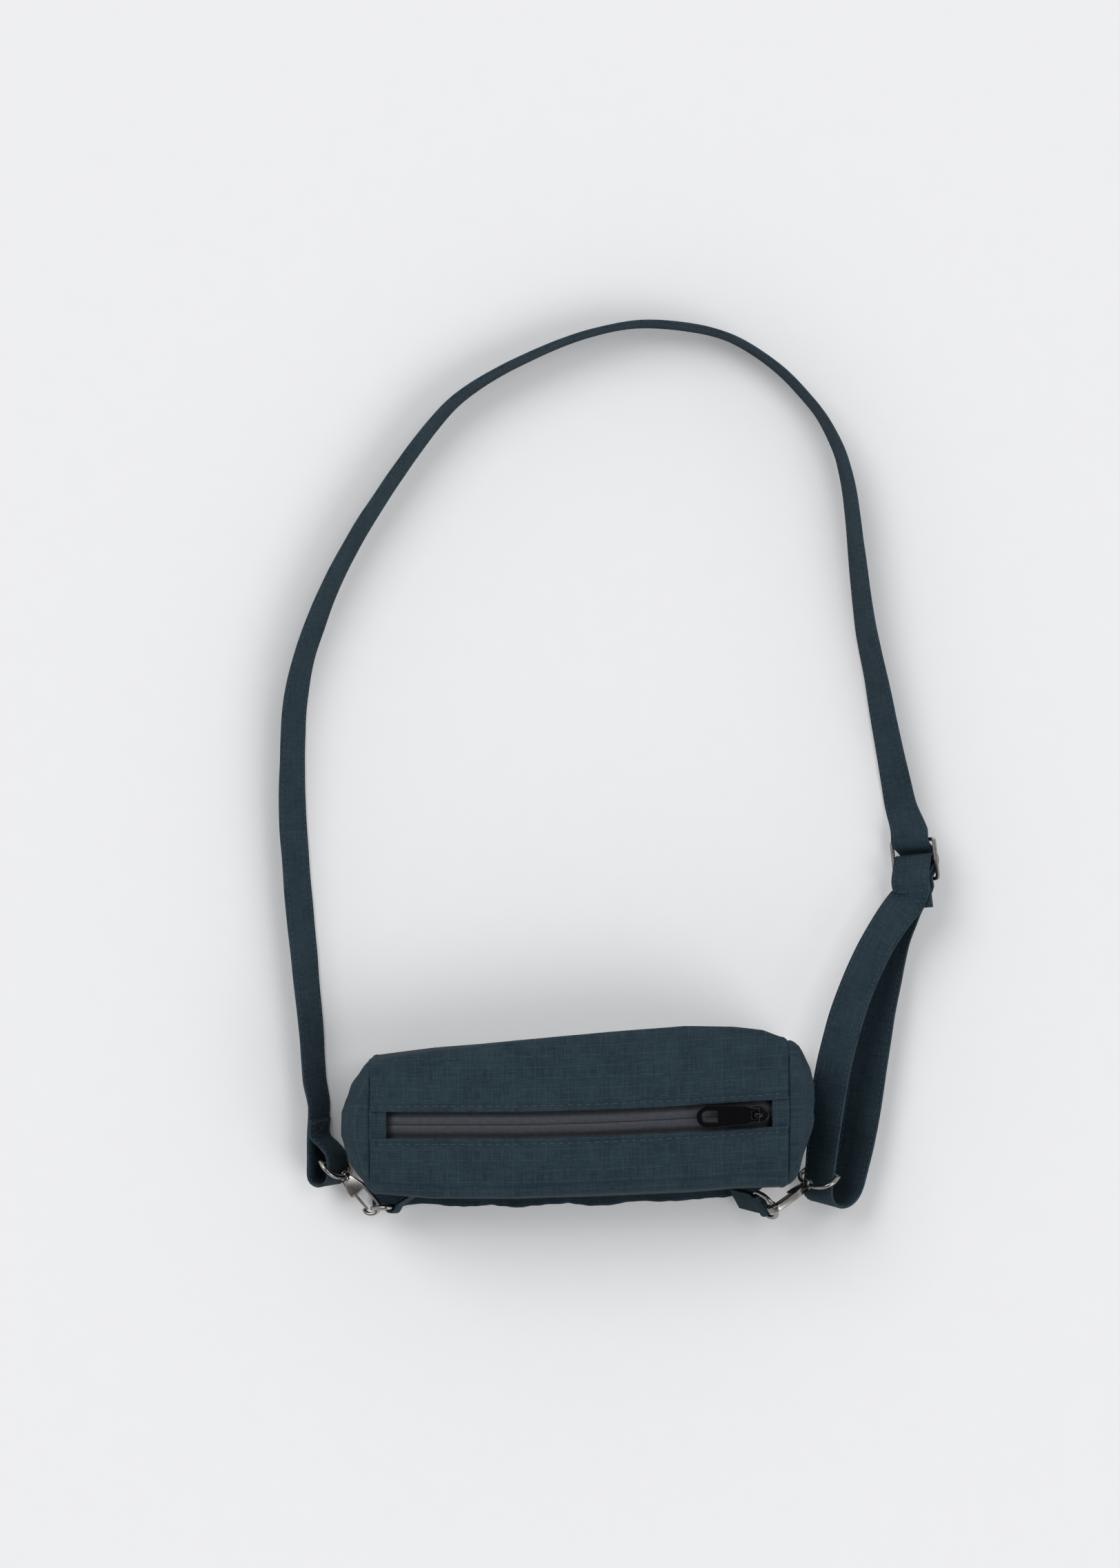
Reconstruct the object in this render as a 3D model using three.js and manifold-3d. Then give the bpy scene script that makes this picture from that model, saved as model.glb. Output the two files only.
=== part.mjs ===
// Bum bag lying on its back with its strap laid in an arch above it.
// Millimetres, +Z up. The origin is the middle of the bag's flat back, +X runs along the zip.
import * as THREE from "three";
import { mergeVertices } from "three/addons/utils/BufferGeometryUtils.js";
import Module from "manifold-3d";

const wasm = await Module();
wasm.setup();

// Bag body
const BAG_LENGTH = 237;
const BAG_HEIGHT = 96;
const BAG_DEPTH = 66;
const FACE_CROWN = 5;
const END_BULGE_LEFT = 17;
const END_BULGE_RIGHT = 16;
const BAG_WALL = 1.6;
const BACK_CORNER_RADIUS = 9;
const FACE_CORNER_RADIUS = 7;
const WALL_BULGE = 1.5;
const FLANGE_WIDTH = 6;
const FLANGE_THICKNESS = 1.6;
const FLANGE_LIFT = 0.3;
const FLANGE_SINK = 4;
const RIPPLE_HEIGHT = 1.2;
const RIPPLE_LENGTH = 41;

// Zip
const SLOT_WIDTH = 14.4;
const SLOT_LEVEL = 2.6;
const SLOT_SLOPE = 7.4;
const TAPE_THICKNESS = 1;
const TAPE_TUCK = 7;
const TAPE_SLIT = 0.4;
const ZIP_END_LENGTH = 7.6;
const ZIP_END_THICKNESS = 1.2;
const SLIDER_LENGTH = 12;
const SLIDER_WIDTH = 9.4;
const SLIDER_HEIGHT = 3.4;
const SLIDER_FROM_END = 17.5;
const BRIDGE_WIDTH = 2.6;
const BRIDGE_INNER_RADIUS = 1.6;
const BRIDGE_OUTER_RADIUS = 3;
const PULLER_LENGTH = 35;
const PULLER_WIDE = 13;
const PULLER_NARROW = 10.6;
const PULLER_THICKNESS = 1.8;
const PULLER_HOLE_LENGTH = 8.6;
const PULLER_HOLE_WIDTH = 6.4;
const PULLER_PIN_RADIUS = 0.9;
const PULLER_TURN = 2;

// Strap
const STRAP_WIDTH = 25;
const STRAP_THICKNESS = 1.8;
const STRAP_LIFT = 0.3;
const ARCH_LENGTH = 463;
const ARCH_WIDTH = 356;
const BESIDE_BAG = 59.5;
const REACH_IN_BAG_HEIGHTS = 4.823;
const SPREAD_IN_STRAP_WIDTHS = 7.12;
const LEFT_LOOP_DEPTH = 12.5;
const SEWN_OVERLAP = 0.3;

// Metal fittings
const WIRE_RADIUS = 1.4;
const EYE_INNER_WIDTH = 28;
const EYE_DEPTH = 12;
const EYE_BASE_LENGTH = 2.8;
const EYE_BASE_RADIUS = 3;
const POST_RADIUS = 1.2;
const RIVET_RADIUS = 2.1;
const RIVET_LENGTH = 1.6;
const CLAW_LENGTH = 27;
const CLAW_THICKNESS = 4.2;
const CLAW_INNER_RADIUS = 3.6;
const CLAW_OUTER_RADIUS = 5.6;
const COLLAR_RADIUS = 3.2;
const GATE_THICKNESS = 1.8;
const GATE_WIDTH = 1.2;
const GATE_PIVOT_FROM_END = 18.6;
const GATE_BOSS_RADIUS = 1.8;
const GATE_PIN_RADIUS = 0.7;
const D_RING_INNER_WIDTH = 16;
const D_RING_DEPTH = 12;
const TAB_WIDTH = 15;
const TAB_LENGTH = 22;
const TAB_THICKNESS = 1.5;
const ADJUSTER_LENGTH = 25;
const ADJUSTER_INNER_WIDTH = 26.4;
const ADJUSTER_BAR = 2.2;
const ADJUSTER_THICKNESS = 1.8;
const FIT_GAP = 0.3;

const POINT_MERGE = 1e-4;

// Solids and booleans
function solidFrom(geometry) {
  const bare = geometry.index ? geometry.toNonIndexed() : geometry.clone();
  bare.deleteAttribute("normal");
  bare.deleteAttribute("uv");
  const merged = mergeVertices(bare, POINT_MERGE);
  const mesh = new wasm.Mesh({
    numProp: 3,
    vertProperties: new Float32Array(merged.attributes.position.array),
    triVerts: new Uint32Array(merged.index.array),
  });
  return new wasm.Manifold(mesh);
}

function geometryFrom(solid) {
  const mesh = solid.getMesh();
  const geometry = new THREE.BufferGeometry();
  geometry.setAttribute("position", new THREE.BufferAttribute(mesh.vertProperties, 3));
  geometry.setIndex(new THREE.BufferAttribute(mesh.triVerts, 1));
  return geometry;
}

const joined = (first, ...others) => others.reduce((sum, next) => sum.add(next), first);
const moved = (geometry, x, y, z) => geometry.clone().translate(x, y, z);
const v3 = (x, y, z) => new THREE.Vector3(x, y, z);

// A closed body through rings of equal point counts, with flat end caps, or closed on itself.
function loft(rings, closed = false) {
  const count = rings[0].length;
  const points = rings.flat();
  const triangles = [];
  const last = closed ? rings.length : rings.length - 1;
  for (let ring = 0; ring < last; ring += 1) {
    const next = (ring + 1) % rings.length;
    for (let k = 0; k < count; k += 1) {
      const a = ring * count + k;
      const b = ring * count + ((k + 1) % count);
      const c = next * count + ((k + 1) % count);
      const d = next * count + k;
      triangles.push(a, b, c, a, c, d);
    }
  }
  if (!closed) {
    const end = (rings.length - 1) * count;
    for (let k = 1; k < count - 1; k += 1) {
      triangles.push(0, k + 1, k);
      triangles.push(end, end + k, end + k + 1);
    }
  }
  const geometry = new THREE.BufferGeometry();
  const numbers = points.flatMap((point) => point.toArray());
  geometry.setAttribute("position", new THREE.Float32BufferAttribute(numbers, 3));
  geometry.setIndex(triangles);
  const solid = solidFrom(geometry);
  if (solid.volume() >= 0) return solid;
  const reversed = [];
  for (let k = 0; k < triangles.length; k += 3) {
    reversed.push(triangles[k], triangles[k + 2], triangles[k + 1]);
  }
  geometry.setIndex(reversed);
  return solidFrom(geometry);
}

// Round wire along a path; a closed path gives a ring.
function wire(path, radius, closed, sides = 8) {
  const rings = path.map((point, index) => {
    const before = path[closed ? (index + path.length - 1) % path.length : Math.max(index - 1, 0)];
    const after = path[closed ? (index + 1) % path.length : Math.min(index + 1, path.length - 1)];
    const along = after.clone().sub(before).normalize();
    const side = v3(0, 0, 1);
    const out = along.clone().cross(side).normalize();
    const ring = [];
    for (let k = 0; k < sides; k += 1) {
      const turn = (k / sides) * Math.PI * 2;
      ring.push(
        point
          .clone()
          .addScaledVector(out, radius * Math.cos(turn))
          .addScaledVector(side, radius * Math.sin(turn)),
      );
    }
    return ring;
  });
  return loft(rings, closed);
}

const smooth = (t) => t * t * (3 - 2 * t);

// Reads a table of rows with named columns at any place, smoothly between its rows.
function readTable(rows, key, column, at) {
  const last = rows.length - 1;
  if (at <= rows[0][key]) return rows[0][column];
  if (at >= rows[last][key]) return rows[last][column];
  const index = rows.findIndex((row) => row[key] >= at);
  const low = rows[index - 1];
  const high = rows[index];
  const share = (at - low[key]) / (high[key] - low[key]);
  return low[column] + (high[column] - low[column]) * smooth(share);
}

// Bag outline seen from the front: along is a share of half the length, north and south are
// shares of half the height for the face edges, back_north and back_south for the back panel.
const BAG_SECTIONS = [
  { along: -1, north: 0.81, south: 0.76, back_north: 0.78, back_south: 0.8 },
  { along: -0.7, north: 0.92, south: 0.82, back_north: 0.86, back_south: 0.87 },
  { along: -0.3, north: 1.03, south: 0.815, back_north: 0.92, back_south: 0.88 },
  { along: 0.1, north: 1.13, south: 0.775, back_north: 0.97, back_south: 0.86 },
  { along: 0.5, north: 1.21, south: 0.735, back_north: 1.02, back_south: 0.82 },
  { along: 0.74, north: 1.2, south: 0.69, back_north: 1.03, back_south: 0.77 },
  { along: 1, north: 0.99, south: 0.68, back_north: 0.93, back_south: 0.73 },
];

// Bulge of the end panels: out is the share of the bulge, shrink what is left of the section,
// shift the share of half the height by which its middle moves up.
const LEFT_END_RINGS = [
  { out: 0.33, shrink: 0.86, shift: 0 },
  { out: 0.6, shrink: 0.6, shift: 0 },
  { out: 0.84, shrink: 0.34, shift: 0 },
  { out: 1, shrink: 0.1, shift: 0 },
];
const RIGHT_END_RINGS = [
  { out: 0.33, shrink: 0.86, shift: 0.03 },
  { out: 0.6, shrink: 0.6, shift: 0.1 },
  { out: 0.84, shrink: 0.36, shift: 0.17 },
  { out: 1, shrink: 0.12, shift: 0.24 },
];

const BODY_STATIONS = [-1, -0.85, -0.7, -0.5, -0.3, -0.1, 0.1, 0.3, 0.5, 0.62, 0.74, 0.87, 1];
const FACE_STEPS = 8;
const WALL_STEPS = 4;
const BACK_STEPS = 5;
const CORNER_STEPS = 3;

const halfHeight = BAG_HEIGHT / 2;
const halfLength = BAG_LENGTH / 2;

function sectionEdges(along) {
  const edge = (column) => readTable(BAG_SECTIONS, "along", column, along) * halfHeight;
  return {
    north: edge("north"),
    south: -edge("south"),
    backNorth: edge("back_north"),
    backSouth: -edge("back_south"),
  };
}

// Height of the crowned face over the back at a place on the face.
function faceLevel(along, y) {
  const edges = sectionEdges(along);
  const middle = (edges.north + edges.south) / 2;
  const half = (edges.north - edges.south) / 2;
  const across = THREE.MathUtils.clamp((y - middle) / half, -1, 1);
  return BAG_DEPTH + FACE_CROWN * (1 - across * across);
}

// One section across the bag, moved in from the outside by inset.
function bagSection(along, inset) {
  const edges = sectionEdges(along);
  const corners = [
    { y: edges.backSouth, z: 0, radius: BACK_CORNER_RADIUS, from: -Math.PI, sy: 1, sz: 1 },
    { y: edges.backNorth, z: 0, radius: BACK_CORNER_RADIUS, from: -Math.PI / 2, sy: -1, sz: 1 },
    { y: edges.north, z: BAG_DEPTH, radius: FACE_CORNER_RADIUS, from: 0, sy: -1, sz: -1 },
    { y: edges.south, z: BAG_DEPTH, radius: FACE_CORNER_RADIUS, from: Math.PI / 2, sy: 1, sz: -1 },
  ];
  const arcs = corners.map((corner) => {
    const arc = [];
    for (let k = 0; k <= CORNER_STEPS; k += 1) {
      const turn = corner.from + (k / CORNER_STEPS) * (Math.PI / 2);
      const reach = corner.radius - inset;
      arc.push([
        corner.y + corner.sy * corner.radius + reach * Math.cos(turn),
        corner.z + corner.sz * corner.radius + reach * Math.sin(turn),
      ]);
    }
    return arc;
  });
  const steps = [BACK_STEPS, WALL_STEPS, FACE_STEPS, WALL_STEPS];
  const section = [];
  arcs.forEach((arc, side) => {
    const next = arcs[(side + 1) % arcs.length][0];
    const start = arc[arc.length - 1];
    section.push(...arc);
    for (let k = 1; k < steps[side]; k += 1) {
      const share = k / steps[side];
      const swell = Math.sin(share * Math.PI) * WALL_BULGE;
      let y = start[0] + (next[0] - start[0]) * share;
      let z = start[1] + (next[1] - start[1]) * share;
      if (side === 1) y += swell;
      if (side === 2) z = faceLevel(along, y) - inset;
      if (side === 3) y -= swell;
      section.push([y, z]);
    }
  });
  return section;
}

function bagSkin(inset) {
  const endRings = (side, bulge, rows) => {
    const section = bagSection(side, inset);
    const ys = section.map((point) => point[0]);
    const zs = section.map((point) => point[1]);
    const middleY = (Math.min(...ys) + Math.max(...ys)) / 2;
    const middleZ = (Math.min(...zs) + Math.max(...zs)) / 2;
    return rows.map(({ out, shrink, shift }) =>
      section.map(([y, z]) =>
        v3(
          side * (halfLength - inset + bulge * out),
          middleY + shift * halfHeight + (y - middleY) * shrink,
          middleZ + (z - middleZ) * shrink,
        ),
      ),
    );
  };
  const body = BODY_STATIONS.map((along) =>
    bagSection(along, inset).map(([y, z]) => v3(along * (halfLength - inset), y, z)),
  );
  return loft([
    ...endRings(-1, END_BULGE_LEFT, LEFT_END_RINGS).reverse(),
    ...body,
    ...endRings(1, END_BULGE_RIGHT, RIGHT_END_RINGS),
  ]);
}

// Middle line of the zip on the face.
const zipLine = (along) => SLOT_LEVEL + SLOT_SLOPE * Math.pow(Math.max((along + 0.35) / 1.35, 0), 1.6);

// A sheet that follows the zip: from and to are distances from its middle line, top its level.
function zipSheet(fromX, toX, from, to, level, thickness, across = 4) {
  const steps = 14;
  const rings = [];
  for (let k = 0; k <= steps; k += 1) {
    const x = fromX + ((toX - fromX) * k) / steps;
    const along = x / halfLength;
    const top = [];
    const under = [];
    for (let m = 0; m <= across; m += 1) {
      const y = zipLine(along) + from + ((to - from) * m) / across;
      const z = faceLevel(along, y) + level;
      top.push(v3(x, y, z));
      under.unshift(v3(x, y, z - thickness));
    }
    rings.push([...top, ...under]);
  }
  return loft(rings);
}

function zipSlot() {
  const beyond = BAG_DEPTH / 2;
  return zipSheet(
    -halfLength + BAG_WALL,
    halfLength - BAG_WALL,
    -SLOT_WIDTH / 2,
    SLOT_WIDTH / 2,
    beyond / 2,
    beyond,
    1,
  );
}

// Seam allowance along the lower back edge, standing out in shallow ripples.
function backFlange() {
  const reach = halfLength * 0.86;
  const steps = 44;
  const rings = [];
  for (let k = 0; k <= steps; k += 1) {
    const x = -reach + (2 * reach * k) / steps;
    const along = x / halfLength;
    const fade = Math.sin((k / steps) * Math.PI) ** 0.5;
    const ripple = Math.sin((x / RIPPLE_LENGTH) * Math.PI * 2);
    const lift = FLANGE_LIFT + RIPPLE_HEIGHT * (1 + ripple) * 0.5 * fade;
    const edge = sectionEdges(along).backSouth;
    const out = FLANGE_WIDTH * (0.75 + 0.25 * ripple) * (0.35 + 0.65 * fade);
    const root = edge + BACK_CORNER_RADIUS - FLANGE_SINK;
    rings.push([
      v3(x, edge - out, lift),
      v3(x, root, FLANGE_LIFT),
      v3(x, root, FLANGE_LIFT + FLANGE_THICKNESS),
      v3(x, edge - out, lift + FLANGE_THICKNESS),
    ]);
  }
  return loft(rings);
}

function bagShell() {
  const inner = bagSkin(BAG_WALL);
  return bagSkin(0).add(backFlange()).subtract(inner).subtract(zipSlot());
}

const tapeLevel = -BAG_WALL - FIT_GAP - 0.1;
const zipReach = halfLength - BAG_WALL - END_BULGE_RIGHT * 0.05;

function zipTape(side) {
  const near = TAPE_SLIT / 2;
  const far = SLOT_WIDTH / 2 + TAPE_TUCK;
  const south = side > 0 ? near : -far;
  const north = side > 0 ? far : -near;
  return zipSheet(-zipReach, zipReach, south, north, tapeLevel, TAPE_THICKNESS);
}

function zipEnd(side) {
  const outer = halfLength - BAG_WALL - FIT_GAP;
  const inner = outer - ZIP_END_LENGTH;
  const half = SLOT_WIDTH / 2 - FIT_GAP;
  const level = tapeLevel + FIT_GAP + ZIP_END_THICKNESS;
  return zipSheet(
    side < 0 ? -outer : inner,
    side < 0 ? -inner : outer,
    -half,
    half,
    level,
    ZIP_END_THICKNESS,
  );
}

function zipSliderParts() {
  const x = halfLength - SLIDER_FROM_END;
  const along = x / halfLength;
  const y = zipLine(along);
  const base = faceLevel(along, y) + tapeLevel + FIT_GAP;
  const pin = base + SLIDER_HEIGHT + BRIDGE_INNER_RADIUS;
  const plate = new THREE.CylinderGeometry(SLIDER_WIDTH / 2, SLIDER_WIDTH / 2, SLIDER_HEIGHT, 16);
  plate.rotateX(Math.PI / 2).scale(SLIDER_LENGTH / SLIDER_WIDTH, 1, 1);
  const body = solidFrom(moved(plate, x, y, base + SLIDER_HEIGHT / 2));

  const arch = new THREE.CylinderGeometry(BRIDGE_OUTER_RADIUS, BRIDGE_OUTER_RADIUS, BRIDGE_WIDTH, 20);
  const hollow = new THREE.CylinderGeometry(BRIDGE_INNER_RADIUS, BRIDGE_INNER_RADIUS, SLIDER_WIDTH, 16);
  const above = new THREE.BoxGeometry(SLIDER_LENGTH, SLIDER_LENGTH, SLIDER_LENGTH);
  const topLevel = base + SLIDER_HEIGHT;
  const bridge = solidFrom(moved(arch, x, y, pin))
    .subtract(solidFrom(moved(hollow, x, y, pin)))
    .intersect(solidFrom(moved(above, x, y, topLevel - FIT_GAP + SLIDER_LENGTH / 2)));
  return { solid: body.add(bridge), x, y, pin };
}

// Flat pull tab, lying to the left of its pin. Its own origin is the middle of the pin.
function zipPuller() {
  const holeStart = BRIDGE_OUTER_RADIUS + FIT_GAP * 2;
  const armHalf = BRIDGE_WIDTH / 2 + FIT_GAP * 2;
  const wide = PULLER_WIDE / 2;
  const narrow = PULLER_NARROW / 2;
  const neck = wide * 0.62;
  const outline = new THREE.Shape();
  outline.moveTo(PULLER_PIN_RADIUS, -neck);
  outline.lineTo(PULLER_PIN_RADIUS, neck);
  outline.lineTo(-holeStart, neck);
  outline.lineTo(-holeStart * 1.9, narrow);
  outline.lineTo(-PULLER_LENGTH + wide, wide);
  outline.absarc(-PULLER_LENGTH + wide, 0, wide, Math.PI / 2, Math.PI * 1.5, false);
  outline.lineTo(-holeStart * 1.9, -narrow);
  outline.lineTo(-holeStart, -neck);
  outline.closePath();
  const bridgeHole = new THREE.Path();
  bridgeHole.moveTo(-PULLER_PIN_RADIUS, -armHalf);
  bridgeHole.lineTo(-holeStart, -armHalf);
  bridgeHole.lineTo(-holeStart, armHalf);
  bridgeHole.lineTo(-PULLER_PIN_RADIUS, armHalf);
  bridgeHole.closePath();
  const fingerHole = new THREE.Path();
  const round = PULLER_HOLE_WIDTH / 2;
  const holeEnd = -PULLER_LENGTH + (PULLER_WIDE - PULLER_HOLE_WIDTH) / 2;
  fingerHole.moveTo(holeEnd + PULLER_HOLE_LENGTH, -round);
  fingerHole.lineTo(holeEnd + PULLER_HOLE_LENGTH, round);
  fingerHole.lineTo(holeEnd + round, round);
  fingerHole.absarc(holeEnd + round, 0, round, Math.PI / 2, Math.PI * 1.5, false);
  fingerHole.closePath();
  outline.holes.push(bridgeHole, fingerHole);
  const plate = new THREE.ExtrudeGeometry(outline, {
    depth: PULLER_THICKNESS,
    bevelEnabled: false,
    curveSegments: 10,
  });
  return solidFrom(moved(plate, 0, 0, -PULLER_THICKNESS / 2));
}

// Middle line of the strap from the left hook, over the arch, to the adjuster. Across is a share
// of half the arch's width, up a share of its length, lean the tilt of the strap's width.
const STRAP_ROUTE = [
  { across: -0.844, up: -0.004, lean: 66 },
  { across: -0.842, up: 0.023, lean: 64.5 },
  { across: -0.857, up: 0.051, lean: 62 },
  { across: -0.865, up: 0.106, lean: 60.5 },
  { across: -0.883, up: 0.175, lean: 58.3 },
  { across: -0.91, up: 0.285, lean: 55.3 },
  { across: -0.929, up: 0.395, lean: 56 },
  { across: -0.929, up: 0.45, lean: 60 },
  { across: -0.924, up: 0.505, lean: 62.2 },
  { across: -0.903, up: 0.56, lean: 65.1 },
  { across: -0.86, up: 0.615, lean: 67 },
  { across: -0.802, up: 0.67, lean: 70.8 },
  { across: -0.729, up: 0.725, lean: 73 },
  { across: -0.637, up: 0.781, lean: 75.7 },
  { across: -0.538, up: 0.836, lean: 77.3 },
  { across: -0.422, up: 0.891, lean: 81.2 },
  { across: -0.311, up: 0.924, lean: 84.6 },
  { across: -0.177, up: 0.951, lean: 87 },
  { across: -0.043, up: 0.973, lean: 88 },
  { across: 0.092, up: 0.989, lean: 88 },
  { across: 0.226, up: 0.995, lean: 88 },
  { across: 0.36, up: 0.991, lean: 88 },
  { across: 0.494, up: 0.977, lean: 88 },
  { across: 0.629, up: 0.945, lean: 87 },
  { across: 0.763, up: 0.892, lean: 85 },
  { across: 0.846, up: 0.836, lean: 81.2 },
  { across: 0.88, up: 0.781, lean: 77 },
  { across: 0.896, up: 0.725, lean: 73.9 },
  { across: 0.913, up: 0.67, lean: 70.5 },
  { across: 0.931, up: 0.615, lean: 68 },
  { across: 0.961, up: 0.56, lean: 65 },
  { across: 0.988, up: 0.505, lean: 61 },
  { across: 1.016, up: 0.45, lean: 56 },
  { across: 1.045, up: 0.395, lean: 49 },
];
const ROUTE_STEPS_PER_ROW = 2;

// The doubled stretch below the adjuster. Level is the height of the middle line in strap widths.
const LOWER_LAYER = [
  { across: 1.073, up: 0.283, level: 0.4, lean: 40 },
  { across: 1.043, up: 0.255, level: 0.37, lean: 38 },
  { across: 1.016, up: 0.228, level: 0.35, lean: 36 },
  { across: 0.987, up: 0.174, level: 0.345, lean: 36 },
  { across: 0.963, up: 0.126, level: 0.345, lean: 36 },
  { across: 0.942, up: 0.071, level: 0.345, lean: 36 },
  { across: 0.924, up: 0.023, level: 0.345, lean: 36 },
  { across: 0.9, up: -0.03, level: 0.375, lean: 40 },
  { across: 0.872, up: -0.078, level: 0.4, lean: 46 },
];
const UPPER_LAYER = [
  { across: 0.772, up: -0.078, level: 0.98, lean: 53 },
  { across: 0.778, up: -0.06, level: 0.99, lean: 52 },
  { across: 0.786, up: -0.03, level: 1, lean: 49 },
  { across: 0.802, up: 0.023, level: 1, lean: 43 },
  { across: 0.823, up: 0.071, level: 0.97, lean: 41 },
  { across: 0.86, up: 0.126, level: 0.91, lean: 41 },
  { across: 0.905, up: 0.174, level: 0.86, lean: 42 },
  { across: 0.964, up: 0.222, level: 0.81, lean: 43 },
  { across: 1.016, up: 0.254, level: 0.79, lean: 41 },
  { across: 1.06, up: 0.276, level: 0.77, lean: 38 },
];

const radians = THREE.MathUtils.degToRad;
const halfArch = ARCH_WIDTH / 2;

// Beside the bag the strap keeps its distance from the bag's end, and it is free above it.
const FREE_FROM = 0.1;
const FREE_TO = 0.6;
function routePoint(across, up) {
  const share = THREE.MathUtils.clamp((up - FREE_FROM) / (FREE_TO - FREE_FROM), 0, 1);
  const held = 1 - smooth(share);
  const side = Math.sign(across);
  const spread = (across - side) * STRAP_WIDTH * SPREAD_IN_STRAP_WIDTHS;
  const besideX = side * (halfLength + BESIDE_BAG) + spread;
  const x = across * halfArch * (1 - held) + besideX * held;
  const y = up * (ARCH_LENGTH + held * (BAG_HEIGHT * REACH_IN_BAG_HEIGHTS - ARCH_LENGTH));
  return v3(x, y, 0);
}

// The direction of the strap's width: it leans outwards from its heading on the ground.
function widthDirection(heading, lean) {
  const outward = v3(-heading.y, heading.x, 0).normalize();
  return outward.multiplyScalar(Math.cos(radians(lean))).add(v3(0, 0, Math.sin(radians(lean))));
}

const restingLevel = (lean) =>
  STRAP_LIFT +
  (STRAP_WIDTH / 2) * Math.sin(radians(lean)) +
  (STRAP_THICKNESS / 2) * Math.cos(radians(lean));

// Stations along a smooth curve through the rows of a route table. Facing is -1 where the rows
// run against the way that the arch runs.
function routeStations(rows, facing = 1) {
  const curve = new THREE.CatmullRomCurve3(
    rows.map((row) => routePoint(row.across, row.up)),
  );
  const steps = (rows.length - 1) * ROUTE_STEPS_PER_ROW;
  const stations = [];
  for (let k = 0; k <= steps; k += 1) {
    const place = k / steps;
    const center = curve.getPoint(place);
    const heading = curve.getTangent(place);
    const index = Math.min(Math.floor(place * (rows.length - 1)), rows.length - 2);
    const share = place * (rows.length - 1) - index;
    const between = (column) => THREE.MathUtils.lerp(rows[index][column], rows[index + 1][column], share);
    const lean = between("lean");
    center.z = rows[0].level === undefined ? restingLevel(lean) : between("level") * STRAP_WIDTH;
    stations.push({ center, width: widthDirection(heading.multiplyScalar(facing), lean) });
  }
  return stations;
}

// A strip of strap through stations, each with its middle and the direction of its width.
function strapStrip(stations) {
  const rings = stations.map(({ center, width }, index) => {
    const before = stations[Math.max(index - 1, 0)].center;
    const after = stations[Math.min(index + 1, stations.length - 1)].center;
    const along = after.clone().sub(before).normalize();
    const face = along.cross(width).normalize();
    const corner = (side, up) =>
      center
        .clone()
        .addScaledVector(width, (side * STRAP_WIDTH) / 2)
        .addScaledVector(face, (up * STRAP_THICKNESS) / 2);
    return [corner(-1, -1), corner(1, -1), corner(1, 1), corner(-1, 1)];
  });
  return loft(rings);
}

// The adjuster lies tilted at the end of the arch; its frame is width, along and out.
const ADJUSTER_PLACE = { across: 1.088, up: 0.3265, level: 0.645, lean: 36, turn: 6.3 };
const adjusterCenter = routePoint(ADJUSTER_PLACE.across, ADJUSTER_PLACE.up).setZ(
  ADJUSTER_PLACE.level * STRAP_WIDTH,
);
const adjusterDown = v3(Math.sin(radians(ADJUSTER_PLACE.turn)), -Math.cos(radians(ADJUSTER_PLACE.turn)), 0);
const adjusterWidth = widthDirection(adjusterDown, ADJUSTER_PLACE.lean);
const adjusterOut = adjusterWidth.clone().cross(adjusterDown).normalize().negate();

// A place on the adjuster: down along the strap and out from its plane.
const atAdjuster = (down, out) =>
  adjusterCenter.clone().addScaledVector(adjusterDown, down).addScaledVector(adjusterOut, out);
const adjusterStations = (places) =>
  places.map(([down, out]) => ({ center: atAdjuster(down, out), width: adjusterWidth }));

const barHalf = ADJUSTER_BAR / 2;
const barReach = ADJUSTER_LENGTH / 2 - barHalf;
const barCorner = Math.hypot(barHalf, ADJUSTER_THICKNESS / 2);
const wrapRadius = barCorner + FIT_GAP + STRAP_THICKNESS / 2;
const overBar = wrapRadius + FIT_GAP * 2;
const layerStep = STRAP_THICKNESS + FIT_GAP * 2;
const underBar = wrapRadius + STRAP_THICKNESS + FIT_GAP * 4;
const shortEndOver = overBar + layerStep + FIT_GAP * 2;
const sewnStep = STRAP_THICKNESS - SEWN_OVERLAP;

// The strap runs over the top bar, under the middle bar and over the bottom bar.
function runningStrap() {
  return adjusterStations([
    [-barReach - 6, overBar * 0.8],
    [-barReach, overBar],
    [-barReach * 0.78, overBar * 0.6],
    [-barReach * 0.35, -underBar * 0.8],
    [0, -underBar],
    [barReach * 0.3, -underBar * 0.92],
    [barReach * 0.62, -underBar * 0.28],
    [barReach * 0.85, overBar * 0.58],
    [barReach, overBar],
    [barReach + 4, overBar * 0.7],
  ]);
}

// The sewn end wraps the middle bar and returns under the upper layer.
function wrappedEnd() {
  const wrap = [];
  const turns = 6;
  for (let k = 0; k <= turns; k += 1) {
    const turn = (k / turns) * Math.PI;
    wrap.push([-wrapRadius * Math.sin(turn), wrapRadius * Math.cos(turn)]);
  }
  const upper = adjusterStations([
    [barReach + 6, shortEndOver + sewnStep],
    [barReach, shortEndOver + sewnStep],
    [barReach * 0.45, (shortEndOver + sewnStep) * 0.68],
    ...wrap,
  ]);
  const under = adjusterStations([
    ...wrap.slice(-2),
    [barReach * 0.25, -wrapRadius * 0.8],
    [barReach * 0.5, shortEndOver * 0.25],
    [barReach * 0.75, shortEndOver * 0.78],
    [barReach, shortEndOver],
    [barReach + 6, shortEndOver],
  ]);
  return { upper, under };
}

// Half turn of the strap from one layer to another, bulging away along the given direction.
function halfTurn(from, to, out, width, steps = 8) {
  const middle = from.clone().add(to).multiplyScalar(0.5);
  const arm = from.clone().sub(middle);
  const stations = [];
  for (let k = 1; k < steps; k += 1) {
    const turn = (k / steps) * Math.PI;
    const center = middle
      .clone()
      .addScaledVector(arm, Math.cos(turn))
      .addScaledVector(out, arm.length() * 0.92 * Math.sin(turn));
    stations.push({ center, width });
  }
  return stations;
}

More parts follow.
